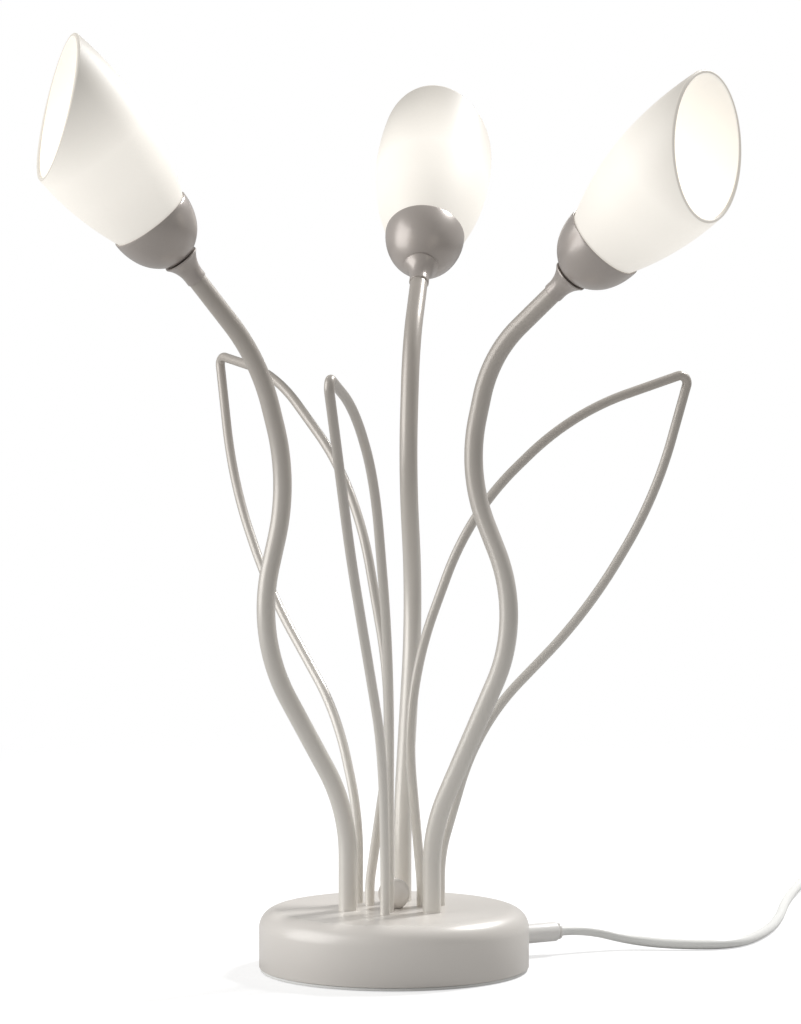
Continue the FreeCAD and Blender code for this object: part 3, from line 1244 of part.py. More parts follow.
axle_radius = s.rocker_axle_diameter / 2
bearings = circles(upper, "XZ_Plane", "upper_bearings", [(middle, axle_level, axle_radius + s.thread_gap)])
axle_reach = opening_side + cheek
cut_bearing = upper.newObject("PartDesign::Pocket", "upper_bearing_drill")
cut_bearing.Profile = bearings
cut_bearing.Type = 0
cut_bearing.Midplane = True
cut_bearing.Length = (axle_reach * 2).value
cut_bearing.setExpression("Length", (axle_reach * 2).text)
doc.recompute()
upper_posts = circles(upper, "XY_Plane", "upper_posts", [(screw_in, 0, post), (s.switch_length - screw_in, 0, post)])
pad(upper, upper_posts, "upper_bosses", half_height)
upper_holes = circles(upper, "XY_Plane", "upper_holes", [
    (screw_in, 0, s.small_screw_diameter / 2 + s.thread_gap),
    (s.switch_length - screw_in, 0, s.small_screw_diameter / 2 + s.thread_gap)])
cut_deep(upper, upper_holes, "upper_drill", half_height - 2.0, backward=True)

# Rocker on its axle, tipped toward the lamp's side.
tip_turn = s.rocker_tip_angle
rocker_home = switch_home.multiply(FreeCAD.Placement(
    V(middle.value, 0, (half_height + axle_level).value), FreeCAD.Rotation(V(0, 1, 0), -tip_turn.value)))
rocker = new_body("switch_rocker", rocker_home)
half_rocker = s.rocker_length / 2
crown = 5.2
valley = crown - half_rocker.value * math.tan(math.radians(tip_turn.value))
pad(rocker, outline(rocker, "XZ_Plane", "rocker_side", [
    (-half_rocker, crown - 4.2), (-4.0, -2.0), (4.0, -2.0), (half_rocker, crown - 4.2),
    (half_rocker, crown), (0, valley), (-half_rocker, crown)]), "rocker_block", s.rocker_width, both_ways=True)
axle = circles(rocker, "XZ_Plane", "rocker_axle_ring", [(0, 0, axle_radius)])
pad(rocker, axle, "rocker_axle", (opening_side + cheek - 0.2) * 2, both_ways=True)

switch_screws = []
for k, reach in enumerate((Size.of(screw_in), s.switch_length - screw_in)):
    at = switch_home.multVec(V(reach.value, 0, 0))
    shank = cylinder("switch_screw_shank_%d" % k, s.small_screw_diameter / 2, s.switch_height - 4.0,
                     at.x, at.y, 0.4)
    switch_screws.append(shank)
group("switch_screws", switch_screws)

# ================================================================ plug
plug_turn = math.degrees(math.atan2(back_way.y, back_way.x))
plug_home = FreeCAD.Placement(V(plug_tail.x, plug_tail.y, 0), FreeCAD.Rotation(V(0, 0, 1), plug_turn))
plug = new_body("plug_body", plug_home)
tail_half = s.plug_tail_width / 2
plug_half = s.plug_width / 2
pad(plug, outline(plug, "XY_Plane", "plug_plan", [
    (0, -tail_half), (s.plug_nose_length, -tail_half), (s.plug_length - 12.0, -plug_half),
    (s.plug_length, -plug_half), (s.plug_length, plug_half), (s.plug_length - 12.0, plug_half),
    (s.plug_nose_length, tail_half), (0, tail_half)]), "plug_block", s.plug_thickness)
sleeves = []
tips = []
for k, side in enumerate((1, -1)):
    turn = FreeCAD.Rotation(V(0, 0, 1), plug_turn) * FreeCAD.Rotation(V(0, 1, 0), 90)
    at = plug_home.multVec(V(s.plug_length.value, side * s.pin_spacing.value / 2, plug_mid.value))
    sleeves.append(cylinder("plug_sleeve_out_%d" % k, s.pin_diameter / 2 - 0.1, s.sleeve_length, at.x, at.y, at.z, turn))
    at = plug_home.multVec(V((s.plug_length + s.sleeve_length).value, side * s.pin_spacing.value / 2, plug_mid.value))
    pin_reach = s.pin_length - s.sleeve_length - s.pin_diameter / 2
    straight_pin = cylinder("plug_pin_rod_%d" % k, s.pin_diameter / 2, pin_reach, at.x, at.y, at.z, turn)
    end = plug_home.multVec(V((s.plug_length + s.sleeve_length + pin_reach).value,
                              side * s.pin_spacing.value / 2, plug_mid.value))
    dome = doc.addObject("Part::Sphere", "plug_pin_dome_%d" % k)
    set_size(dome, "Radius", s.pin_diameter / 2)
    put(dome, end.x, end.y, end.z)
    tips.append(join("plug_pin_%d" % k, straight_pin, dome))
group("plug_sleeves", sleeves)
group("plug_pins", tips)

# ================================================================ checks and export
doc.recompute()
for thing in doc.Objects:
    if "Invalid" in thing.State or "Error" in thing.State:
        raise RuntimeError("%s is %s" % (thing.Name, thing.State))
for name, thing in parts.items():
    if thing.Shape.isNull() or not thing.Shape.isValid() or not thing.Shape.Solids:
        raise RuntimeError("%s has no sound shape" % name)
for name, thing in parts.items():
    thing.Shape.exportStep("parts/%s.step" % name)
whole = Part.makeCompound([thing.Shape for thing in parts.values()]).BoundBox
print("%d sub-parts, box %.1f %.1f %.1f to %.1f %.1f %.1f"
      % (len(parts), whole.XMin, whole.YMin, whole.ZMin, whole.XMax, whole.YMax, whole.ZMax))
for name, thing in parts.items():
    print("%-22s solids %d  volume %9.1f mm3" % (name, len(thing.Shape.Solids), thing.Shape.Volume))
for i, home in stem_ends.items():
    seat = home.multVec(V(0, 0, rim.value))
    way = home.Rotation.multVec(V(0, 0, 1))
    print("head %d: rim at %.3f %.3f %.3f, axis %.5f %.5f %.5f" % (i, seat.x, seat.y, seat.z, way.x, way.y, way.z))
pivot = rocker_home.Base
side = rocker_home.Rotation.multVec(V(0, 1, 0))
print("rocker: axle at %.3f %.3f %.3f, along %.5f %.5f %.5f" % (pivot.x, pivot.y, pivot.z, side.x, side.y, side.z))
print("free points", [tuple(round(c, 2) for c in p) for p in free_points])
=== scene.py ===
# %% [markdown]
# # A table lamp with three tulip shades
#
# The lamp is a round weighted base, three bent tubes that carry glass tulips, and three leaves
# of bent rod. Its sizes are those of the frame, a solid model of the same lamp, and this file
# dresses it: it remakes what is seen with smooth surfaces, gives every piece its finish, lays the
# mains lead, and sets up a camera and plain studio light.
#
# Everything is in metres. X runs to the right, Y away from the camera and Z up.

# %% Load the frame
import bpy
import bmesh
import math
import numpy as np
from mathutils import Vector, Matrix


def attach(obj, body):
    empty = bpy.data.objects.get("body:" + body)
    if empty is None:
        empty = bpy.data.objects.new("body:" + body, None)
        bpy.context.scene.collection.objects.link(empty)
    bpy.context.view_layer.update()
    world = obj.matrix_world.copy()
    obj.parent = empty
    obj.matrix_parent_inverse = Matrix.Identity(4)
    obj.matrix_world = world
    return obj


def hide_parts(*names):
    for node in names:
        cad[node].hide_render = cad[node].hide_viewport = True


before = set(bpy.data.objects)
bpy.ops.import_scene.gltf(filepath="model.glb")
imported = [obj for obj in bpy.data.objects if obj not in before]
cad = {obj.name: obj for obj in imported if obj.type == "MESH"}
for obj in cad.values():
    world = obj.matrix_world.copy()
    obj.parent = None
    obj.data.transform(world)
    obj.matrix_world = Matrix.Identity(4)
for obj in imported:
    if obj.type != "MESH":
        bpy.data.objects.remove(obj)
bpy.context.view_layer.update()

# %% [markdown]
# ## The camera
#
# A long lens, 2.1 m in front of the lamp and a little above its middle, looking slightly down.
# From there the base's top shows as a thin ellipse and the tubes keep their true proportions.
# The flat look of the base says that the lens was a long one.

# %% Camera
camera_data = bpy.data.cameras.new("long_lens")
camera_data.sensor_fit = "VERTICAL"
camera_data.sensor_height = 36.0
camera_data.lens = 4074 / 1024 * 36.0
camera_data.clip_end = 50.0
camera = bpy.data.objects.new("camera", camera_data)
camera.location = (0.00337, -2.100, 0.345)
camera.rotation_euler = (math.radians(90 - 2.93), 0, 0)
bpy.context.scene.collection.objects.link(camera)
bpy.context.scene.camera = camera
bpy.context.scene.view_settings.view_transform = "Standard"
print("camera lens %.1f mm" % camera_data.lens)

# %% [markdown]
# ## The mains lead
#
# A round white lead of 5.2 mm comes out of the sleeve at the back right of the base, drops to
# the table, bows gently toward the camera and runs off to the right. It is one smooth NURBS
# curve whose control points are the corners of its route. What the picture doesn't show, the
# in-line switch, the coil of spare lead and the plug, lies just past the right edge of the view.
# A NURBS of order 3 fits a heavy, springy lead well: it never turns sharper than its corners
# allow, and it can't wobble between them.

# %% Route of the lead
lead_radius = 0.0026
lead_exit = np.array([0.0878138, 0.0506993, 0.012])
out_of_gland = np.array([math.cos(math.radians(30)), math.sin(math.radians(30)), 0.0])
switch_way = np.array([0.45, 0.893, 0.0]) / math.hypot(0.45, 0.893)
switch_side = np.array([switch_way[1], -switch_way[0], 0.0])
pitch = 0.00575                      # of the coil: from turn to turn, and from layer to layer
coil_lift = 0.0011                   # room for the tie under the coil
low_layer = coil_lift + lead_radius
switch_in = np.array([0.2606, 0.3333, low_layer + pitch])
switch_out = switch_in + switch_way * 0.060
free_points = [
    lead_exit,
    lead_exit + out_of_gland * 0.016,
    (0.126, 0.067, 0.0046),
    (0.150, 0.062, 0.0029),
    (0.1835, 0.065, 0.0026),
    (0.203, 0.108, 0.0026),
    (0.215, 0.160, 0.0026),
    (0.224, 0.222, 0.0026),
    (0.235, 0.274, 0.0026),
    switch_in - switch_way * 0.022,
    switch_in,
    switch_out,
]

# %% [markdown]
# The spare lead is wound the way it comes out of the box: flat on the table in two layers,
# spiralling in on the upper one, going down in half a turn, and spiralling out on the lower one.
# Its turns are more control points of the same curve, worked out all at once from the angle.

# %% Turns of the coil
turns = 3.5                          # on each layer
middle_turn = 0.0274                 # radius halfway between the outmost and the inmost turn
outer_turn = middle_turn + pitch * turns / 2
inner_turn = outer_turn - pitch * turns
coil_entry = switch_out + switch_way * 0.023
coil_centre = coil_entry + switch_side * outer_turn
first_angle = math.atan2(-switch_side[1], -switch_side[0])


def coil_points(per_turn=24):
    """Radius falls by one pitch a turn on the upper layer, follows a parabola through its least
    value in the half turn between the layers, then grows by one pitch a turn on the lower one.
    Height follows half a cosine wave through that half turn. The angle runs clockwise."""
    t = np.linspace(0.0, 2 * turns + 0.5, int((2 * turns + 0.5) * per_turn) + 1)
    share = np.clip(t - turns, 0.0, 0.5)
    radius = outer_turn - pitch * np.minimum(t, turns) - pitch * (share - 2 * share ** 2)
    radius = radius + pitch * np.maximum(t - turns - 0.5, 0.0)
    radius = radius / (0.5 + 0.5 * math.cos(math.pi / per_turn))
    angle = first_angle - 2 * np.pi * t
    height = low_layer + pitch * (0.5 + 0.5 * np.cos(2 * np.pi * share))
    return np.stack([coil_centre[0] + radius * np.cos(angle),
                     coil_centre[1] + radius * np.sin(angle), height], axis=1)


coil = coil_points()
coil_out = coil_centre + switch_side * outer_turn
coil_out[2] = low_layer
link_step = 0.0052                   # from either end of the coil to the next control point
tail_run = 0.010                     # straight run after the coil, and again before the plug
plug_tail = coil_out - switch_way * (link_step + 0.034)
plug_tail[2] = 0.0068
link_points = [coil_entry - switch_way * link_step]
tail_points = [coil_out - switch_way * link_step, coil_out - switch_way * (link_step + tail_run),
               plug_tail + switch_way * tail_run, plug_tail]
route = np.array([tuple(p) for p in free_points + link_points] + coil.tolist()
                 + [tuple(p) for p in tail_points])
print("route of the lead: %d points, %.3f m along its corners"
      % (len(route), np.linalg.norm(np.diff(route, axis=0), axis=1).sum()))


# %% The lead itself
def open_nurbs(name, points, radius, sides=10, steps=8):
    """An open NURBS curve of order 3 on control points, with a round section."""
    data = bpy.data.curves.new(name, "CURVE")
    data.dimensions = "3D"
    spline = data.splines.new("NURBS")
    spline.points.add(len(points) - 1)
    spline.points.foreach_set("co", np.hstack([points, np.ones((len(points), 1))]).ravel())
    spline.points.foreach_set("radius", np.full(len(points), radius))
    spline.order_u = 3
    spline.use_endpoint_u = True
    spline.resolution_u = steps
    data.bevel_depth = 1.0               # times each point's radius
    data.bevel_resolution = sides
    data.use_fill_caps = True
    piece = bpy.data.objects.new(name, data)
    bpy.context.scene.collection.objects.link(piece)
    return piece


lead = open_nurbs("mains_lead", route, lead_radius, sides=6, steps=6)
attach(lead, "lamp")
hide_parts("mains_cord", "mains_cord_link", "mains_cord_coil", "mains_cord_tail")

# %% [markdown]
# ## Surfaces from numbers
#
# Almost every visible piece is either turned on a lathe or bent from tube, so two helpers make
# most of the lamp. Each works out a whole grid of points at once: the first index runs along the
# profile or the path, the second runs round it. One more helper turns such a grid into a mesh,
# closes its seam and poles, and checks that its faces point outward by the sign of its volume.

# %% A grid becomes a mesh
def skin(name, grid, uv=None, sharp=38.0, ring=False, second=None):
    """Quads between neighbours of a grid of points (along, around, 3). The last column joins the
    first. ring=True also joins the last row to the first; otherwise both ends are poles or
    flat ends that the profile itself closes. second gives each row the number of its finish."""
    rows, around = grid.shape[:2]
    last = rows if ring else rows - 1
    i, j = np.meshgrid(np.arange(last), np.arange(around), indexing="ij")
    k = (i + 1) % rows
    l = (j + 1) % around
    quads = np.stack([i * around + j, i * around + l, k * around + l, k * around + j], axis=-1)
    quads = quads.reshape(-1, 4)
    p = grid.reshape(-1, 3)
    a, b, c, d = (p[quads[:, n]] for n in range(4))
    volume = (np.einsum("ij,ij->i", a, np.cross(b, c)).sum()
              + np.einsum("ij,ij->i", a, np.cross(c, d)).sum())
    if volume < 0:
        quads = quads[:, ::-1]
    mesh = bpy.data.meshes.new(name)
    mesh.from_pydata(p.tolist(), [], quads.tolist())
    if uv is not None:
        flat = np.stack(np.broadcast_arrays(*uv), axis=-1).reshape(-1, 2)
        layer = mesh.uv_layers.new(name="along")
        layer.data.foreach_set("uv", flat[quads.ravel()].ravel().astype(np.float32))
    if second is not None:
        index = second[i].reshape(-1).astype(np.int32)
        mesh.polygons.foreach_set("material_index", index)
    work = bmesh.new()
    work.from_mesh(mesh)
    bmesh.ops.remove_doubles(work, verts=work.verts, dist=2e-6)
    bmesh.ops.dissolve_degenerate(work, dist=1e-7, edges=work.edges)
    work.to_mesh(mesh)
    work.free()
    mesh.polygons.foreach_set("use_smooth", np.ones(len(mesh.polygons), bool))
    mesh.set_sharp_from_angle(angle=math.radians(sharp))
    mesh.update()
    piece = bpy.data.objects.new(name, mesh)
    bpy.context.scene.collection.objects.link(piece)
    return piece


# %% Rounded corners and long curves for profiles
def rounded(points, radii, steps=5):
    """A polyline with its corners rounded: each corner is cut back by r * tan(turn / 2) on both
    sides and an arc of radius r joins the two cuts."""
    pts = [np.array(p, float) for p in points]
    out = [pts[0]]
    for before, at, after, r in zip(pts[:-2], pts[1:-1], pts[2:], radii):
        if r <= 0:
            out.append(at)
            continue
        u = (before - at) / np.linalg.norm(before - at)
        v = (after - at) / np.linalg.norm(after - at)
        half = 0.5 * math.acos(np.clip(-u @ v, -1, 1))
        back = r * math.tan(half)
        start, stop = at + u * back, at + v * back
        middle = at + (u + v) / np.linalg.norm(u + v) * (r / math.cos(half))
        a = start - middle
        b = stop - middle
        t = np.linspace(0, 1, steps + 1)[:, None]
        turn = 2 * half
        arc = (a * np.sin((1 - t) * turn) + b * np.sin(t * turn)) / math.sin(turn)
        out.extend(middle + arc)
    out.append(pts[-1])
    return np.array(out)


def bow(start, stop, radius, side, steps=12):
    """Points of an arc from start to stop; side 1 puts its centre left of the way."""
    a, b = np.array(start, float), np.array(stop, float)
    half = np.linalg.norm(b - a) / 2
    left = np.array([-(b - a)[1], (b - a)[0]]) / (2 * half) * side
    centre = (a + b) / 2 + left * math.sqrt(radius ** 2 - half ** 2)
    turn = 2 * math.asin(half / radius)
    t = np.linspace(0, 1, steps + 1)[:, None]
    return centre + ((a - centre) * np.sin((1 - t) * turn) + (b - centre) * np.sin(t * turn)) / math.sin(turn)


# %% Turning on a lathe
def turned(name, profile, place, around=96, ring=False, **more):
    """A profile of (radius, height) carried round the Z axis: x = r cos a, y = r sin a, z = h.
    place is a 4 x 4 matrix that puts the piece where it belongs."""
    profile = np.asarray(profile, float)
    angle = np.linspace(0, 2 * np.pi, around, endpoint=False)
    r, h = profile[:, :1], profile[:, 1:]
    grid = np.stack([r * np.cos(angle), r * np.sin(angle), h + 0 * angle], axis=-1)
    uv = (angle[None, :] / (2 * np.pi) + 0 * h, h + 0 * angle)
    return skin(name, moved(grid, place), uv=uv, ring=ring, **more)


def moved(points, place):
    """Points times a 4 x 4 matrix."""
    m = np.array(place, float)
    return points @ m[:3, :3].T + m[:3, 3]


here = Matrix.Identity(4)


# %% Bent tube
def bent_line(corners, fill=0.46, fixed=None, step=0.002):
    """A path in a plane: straight runs joined by arcs that touch them. The arc at a corner has
    the radius fill * (shorter run) / tan(turn / 2), or the one that fixed names for it."""
    pts = [np.array(c, float) for c in corners]
    fixed = fixed or {}
    radii = []
    for n in range(1, len(pts) - 1):
        u, v = pts[n] - pts[n - 1], pts[n + 1] - pts[n]
        turn = math.acos(np.clip(u @ v / np.linalg.norm(u) / np.linalg.norm(v), -1, 1))
        shorter = min(np.linalg.norm(u), np.linalg.norm(v))
        radii.append(fixed.get(n, fill * shorter / math.tan(turn / 2)))
    line = rounded(pts, radii, steps=48)
    gaps = np.linalg.norm(np.diff(line, axis=0), axis=1)
    keep = np.concatenate([[True], gaps > 1e-7])
    line = line[keep]
    out = [line[:1]]
    for a, b in zip(line[:-1], line[1:]):
        pieces = max(1, int(np.linalg.norm(b - a) / step))
        out.append(a + (b - a) * (np.arange(1, pieces + 1) / pieces)[:, None])
    return np.concatenate(out)


def bent_tube(name, line, radius, turn_deg, foot, sides=28, dish=0.0006):
    """A round section carried along a path that lies in one upright plane. At each point of the
    path the section's two directions are the plane's normal, which never changes, and the
    path's own normal, so the tube can't twist. Both ends are closed by a shallow dish, which
    lies hidden against the piece that the end meets."""
    tangent = np.gradient(line, axis=0)
    tangent /= np.linalg.norm(tangent, axis=1)[:, None]
    run = np.concatenate([[0], np.cumsum(np.linalg.norm(np.diff(line, axis=0), axis=1))])
    caps = np.array([0.0, 0.6, 0.9, 1.0])
    end_size = radius - dish * (1 - caps)
    end_shift = dish * (1 - np.sqrt(1 - (1 - caps) ** 2))
    last = len(line) - 1
    size = np.concatenate([end_size, np.full(last - 1, radius), end_size[::-1]])
    shift = np.concatenate([end_shift, np.zeros(last - 1), -end_shift[::-1]])
    pick = np.concatenate([np.zeros(4, int), np.arange(1, last), np.full(4, last)])
    spot, way = line[pick] + tangent[pick] * shift[:, None], tangent[pick]
    size = np.concatenate([[0.0], size, [0.0]])
    spot = np.concatenate([spot[:1], spot, spot[-1:]])
    way = np.concatenate([way[:1], way, way[-1:]])
    along = np.concatenate([[0.0], run[pick], run[-1:]])
    a = np.linspace(0, 2 * np.pi, sides, endpoint=False)
    side = np.stack([-way[:, 1], way[:, 0]], axis=1)
    flat = spot[:, None, :] + (size[:, None] * np.cos(a))[:, :, None] * side[:, None, :]
    deep = size[:, None] * np.sin(a)
    grid = np.stack([flat[..., 0], deep, flat[..., 1]], axis=-1)
    place = Matrix.Translation(foot) @ Matrix.Rotation(math.radians(turn_deg), 4, "Z")
    uv = (a[None, :] / (2 * np.pi) + 0 * along[:, None], along[:, None] + 0 * a[None, :])
    return skin(name, moved(grid, place), uv=uv)


# %% [markdown]
# ## The base
#
# The real base is a sheet-metal cover spun over a form: a flat top, a rounded edge, a plain
# wall that stops just above the table, and a pale foam disc that shows as a thin line below it.
# A turned profile is the same thing in numbers, with a small roll at the lower lip where the
# sheet was trimmed.

# %% Base cover and foam disc
base_radius, base_top, edge_round, sheet = 0.070, 0.032, 0.010, 0.001
flat_edge = base_radius - edge_round
wall_top = base_top - edge_round
cover_profile = np.concatenate([
    [(0.0, base_top)],
    np.stack([np.linspace(0.004, flat_edge - 0.001, 12), np.full(12, base_top)], axis=1),
    bow((flat_edge, base_top), (base_radius, wall_top), edge_round, -1, 20),
    rounded([(base_radius, wall_top - 0.002), (base_radius, 0.0016), (base_radius - sheet, 0.0016),
             (base_radius - sheet, wall_top)], [0.0004, 0.0004], 4),
    bow((base_radius - sheet, wall_top), (flat_edge, base_top - sheet), edge_round - sheet, 1, 10),
    [(0.0, base_top - sheet)],
])
cover = turned("cover_shell", cover_profile, here, around=160)
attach(cover, "lamp")
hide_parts("base_cover")
foam_radius = 0.0694
foam_profile = rounded([(0.0, 0.0), (foam_radius, 0.0), (foam_radius, 0.0015), (0.0, 0.0015)],
                       [0.0003, 0.0003], 4)
foam = turned("foam_disc", foam_profile, here, around=160)
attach(foam, "lamp")
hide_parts("base_pad")
print("base: %d faces" % len(cover.data.polygons))

# %% Ball nut on the middle of the base
ball_radius, ball_sunk = 0.00825, 0.0009
ball_centre = base_top + ball_radius - ball_sunk
flat_half = math.asin((ball_centre - base_top) / ball_radius)
latitude = np.linspace(-flat_half, math.pi / 2, 40)
ball_profile = np.concatenate([[(0.0, base_top)], np.stack(
    [ball_radius * np.cos(latitude), ball_centre + ball_radius * np.sin(latitude)], axis=1)])
ball_profile[-1, 0] = 0.0
ball = turned("ball", ball_profile, here, around=64)
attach(ball, "lamp")
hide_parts("ball_nut")

# %% [markdown]
# ## Stems and leaves
#
# Each stem is one steel tube bent in one upright plane: up, out, in again and out to the head.
# Each leaf is one rod bent in a plane as well, up to a tight tip and back down. So both need
# only their corners in that plane, the plane's direction, and the place of the foot.

# %% Stems
mm = 0.001
tube_radius, stem_circle = 0.00475, 0.0254    # the feet stand on a circle round the ball nut
stems = {
    1: {"turn": 205.5, "lean": 40.0, "twist": -14.0, "foot_angle": 200.0,
        "top_run": 53.0, "corners": [(0, 0), (0, 52.5), (52.0, 143.3), (32.8, 221.8), (83.4, 324.9)]},
    2: {"turn": 83.3, "lean": 48.5, "twist": -12.5, "foot_angle": 80.0,
        "top_run": 49.0, "corners": [(0, 0), (0, 46.0), (54.5, 150.0), (22.5, 227.0), (76.0, 324.0)]},
    3: {"turn": 328.0, "lean": 49.5, "twist": -8.0, "foot_angle": 320.0,
        "top_run": 47.6, "corners": [(0, 0), (0, 43.1), (54.0, 154.0), (20.5, 226.9), (71.1, 318.0)]},
}
heads = {}
for n, stem in stems.items():
    end = np.array(stem["corners"][-1])
    lean = math.radians(stem["lean"])
    knee = end - stem["top_run"] * np.array([math.sin(lean), math.cos(lean)])
    line = bent_line(np.array([*stem["corners"][:-1], knee, end], float) * mm)
    angle = math.radians(stem["foot_angle"])
    foot = Vector((stem_circle * math.cos(angle), stem_circle * math.sin(angle), base_top))
    tube = bent_tube("stem_tube_%d" % n, line, tube_radius, stem["turn"], foot, sides=48)
    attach(tube, "lamp")
    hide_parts("stem_%d" % n)
    stem["tube"] = tube
    out, up = end * mm
    heads[n] = (Matrix.Translation(foot) @ Matrix.Rotation(math.radians(stem["turn"]), 4, "Z")
                @ Matrix.Translation((out, 0, up)) @ Matrix.Rotation(math.radians(stem["lean"]), 4, "Y"))
    length = np.linalg.norm(np.diff(line, axis=0), axis=1).sum()
    print("stem %d: %.0f mm of tube" % (n, length * 1000))

# %% Leaves
rod_radius, leaf_circle = 0.0025, 0.0204
tip, tip_bend = 5, 0.0040                     # the tip is the sixth corner, bent tightly
leaves = {
    1: {"turn": 19.0, "foot_angle": 20.0, "corners": [
        (5.2, 0), (5.2, 26.8), (25.8, 93.2), (87.1, 151.2), (125.6, 210.9), (145.4, 277.1), (78.2, 255.6),
        (21.4, 204.4), (-14.7, 111.6), (-5.2, 12.0), (-5.2, 0)]},
    2: {"turn": 125.0, "foot_angle": 140.0, "corners": [
        (5.2, 0), (5.2, 45.9), (24.9, 97.2), (90.6, 159.3), (126.1, 216.3), (139.5, 284.7), (83.1, 275.1),
        (7.2, 217.9), (-28.1, 103.1), (-5.2, 12.0), (-5.2, 0)]},
    3: {"turn": 259.5, "foot_angle": 260.0, "corners": [
        (5.2, 0), (5.2, 26.7), (12.2, 86.0), (95.7, 189.2), (122.6, 232.1), (152.7, 279.2), (86.6, 261.9),
        (33.6, 224.7), (-7.0, 129.9), (-5.2, 12.0), (-5.2, 0)]},
}
leaf_rods = {}
for n, leaf in leaves.items():
    line = bent_line(np.array(leaf["corners"], float) * mm, fixed={tip: tip_bend}, step=0.0015)
    angle = math.radians(leaf["foot_angle"])
    foot = Vector((leaf_circle * math.cos(angle), leaf_circle * math.sin(angle), base_top))
    rod = bent_tube("leaf_rod_%d" % n, line, rod_radius, leaf["turn"], foot, sides=40, dish=0.0003)
    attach(rod, "lamp")
    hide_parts("leaf_%d" % n)
    leaf_rods[n] = rod
    length = np.linalg.norm(np.diff(line, axis=0), axis=1).sum()
    print("leaf %d: %.0f mm of rod" % (n, length * 1000))

# %% [markdown]
# ## The heads
#
# Each head has the same turned parts on one axis: a small trumpet-shaped ferrule, a deep cup of
# spun sheet, and the glass that stands in the cup. They are drawn about Z with zero at the
# tube's end and put in place with the head's matrix.

# %% Ferrules and cups
cup_floor, rim_height = 0.0140, 0.0395
cup_rim, cup_shoulder, cup_foot, cup_wall = 0.0216, 0.0188, 0.0072, 0.0008
shoulder_up = 0.0121
rim_over, rim_up = cup_rim - cup_shoulder, rim_height - cup_floor - shoulder_up
upper_curve = (rim_over ** 2 + rim_up ** 2) / (2 * rim_over)      # ends upright at the rim
wall_slope = 2 * math.atan2(rim_over, rim_up)                     # at the shoulder
cos_wall, sin_wall = math.cos(wall_slope), math.sin(wall_slope)
foot_reach = cup_shoulder - cup_foot
lower_curve = ((foot_reach ** 2 + shoulder_up ** 2)
               / (2 * (foot_reach * cos_wall - shoulder_up * sin_wall)))
shoulder = (cup_shoulder, cup_floor + shoulder_up)
shoulder_in = (cup_shoulder - cup_wall * cos_wall, shoulder[1] + cup_wall * sin_wall)
centre_up = shoulder_up + lower_curve * sin_wall - cup_wall
foot_in = (cup_shoulder - lower_curve * cos_wall + math.sqrt((lower_curve - cup_wall) ** 2 - centre_up ** 2),
           cup_floor + cup_wall)
cup_pieces, ferrule_pieces = {}, {}
for n, place in heads.items():
    ferrule_profile = np.concatenate([
        rounded([(0.00405, 0.0), (0.0053, 0.0), (0.0053, 0.0022)], [0.0003], 3),
        bow((0.0053, 0.0022), (0.0093, 0.0132), 0.015, -1, 14)[1:],
        [(0.0093, 0.0139), (0.0040, 0.0139)],
    ])
    ferrule = turned("ferrule_cone_%d" % n, ferrule_profile, place, around=56, ring=True)
    outside = np.concatenate([
        bow((cup_foot, cup_floor), shoulder, lower_curve, 1, 22),
        bow(shoulder, (cup_rim, rim_height), upper_curve, 1, 14)[1:],
    ])
    inside = np.concatenate([
        bow((cup_rim - cup_wall, rim_height), shoulder_in, upper_curve - cup_wall, -1, 12),
        bow(shoulder_in, foot_in, lower_curve - cup_wall, -1, 16)[1:],
    ])
    lip = np.array([(0.02152, rim_height + 0.00018), (0.0212, rim_height + 0.00026),
                    (0.02088, rim_height + 0.00018)])
    cup_profile = np.concatenate([[(0.0040, cup_floor)], outside, lip, inside, [(0.0040, foot_in[1])]])
    cup = turned("cup_shell_%d" % n, cup_profile, place, around=96, ring=True)
    for piece, node in ((ferrule, "ferrule_%d" % n), (cup, "cup_%d" % n)):
        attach(piece, "lamp")
        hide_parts(node)
    cup_pieces[n], ferrule_pieces[n] = cup, ferrule

# %% [markdown]
# The glass is blown into a mould and then cut off on a slant, so that one side is nearly twice as
# long as the other. Along each line from the foot to the cut, the profile is the same; only where the
# line ends differs. So the grid is made of the full profile squeezed to end at the cut: the cut's
# height depends on how far out the glass is there, which a few rounds of trial settle. The cut
# edge is ground and fire-polished, so a half round joins the outer and the inner wall.


# %% Profile of the glass
glass_wall = 0.0022
glass_floor = 0.02755
glass_foot, foot_edge, small_edge = 0.0164, 0.0015, 0.0004
short_side, cut_fall = 0.051, 0.045            # above the rim; the long side is both together
neck = (0.0205, rim_height)
belly = (0.0318, rim_height + 0.057)
high = (0.0266, rim_height + 0.102)
low_curve = ((belly[0] - neck[0]) ** 2 + (belly[1] - neck[1]) ** 2) / (2 * (belly[0] - neck[0]))
high_curve = ((belly[0] - high[0]) ** 2 + (belly[1] - high[1]) ** 2) / (2 * (belly[0] - high[0]))


def outer_radius(h):
    """Radius of the glass at a height: a cone up to the cup's rim, then two arcs that meet
    upright at the belly, each r = belly - R + sqrt(R^2 - (h - belly height)^2)."""
    d = h - belly[1]
    curve = np.where(d < 0, low_curve, high_curve)
    arc = belly[0] - curve + np.sqrt(curve ** 2 - d ** 2)
    cone = glass_foot + ((neck[0] - glass_foot) * (h - glass_floor - foot_edge)
                         / (neck[1] - glass_floor - foot_edge))
    return np.where(h < neck[1], cone, arc)


def cut_height(r, angle):
    """Height of the slanting cut at a place: it falls evenly from the long side, at -X, to the
    short side, at +X."""
    slant = cut_fall / (belly[0] + high[0])
    return rim_height + short_side + (belly[0] - r * np.cos(angle)) * slant


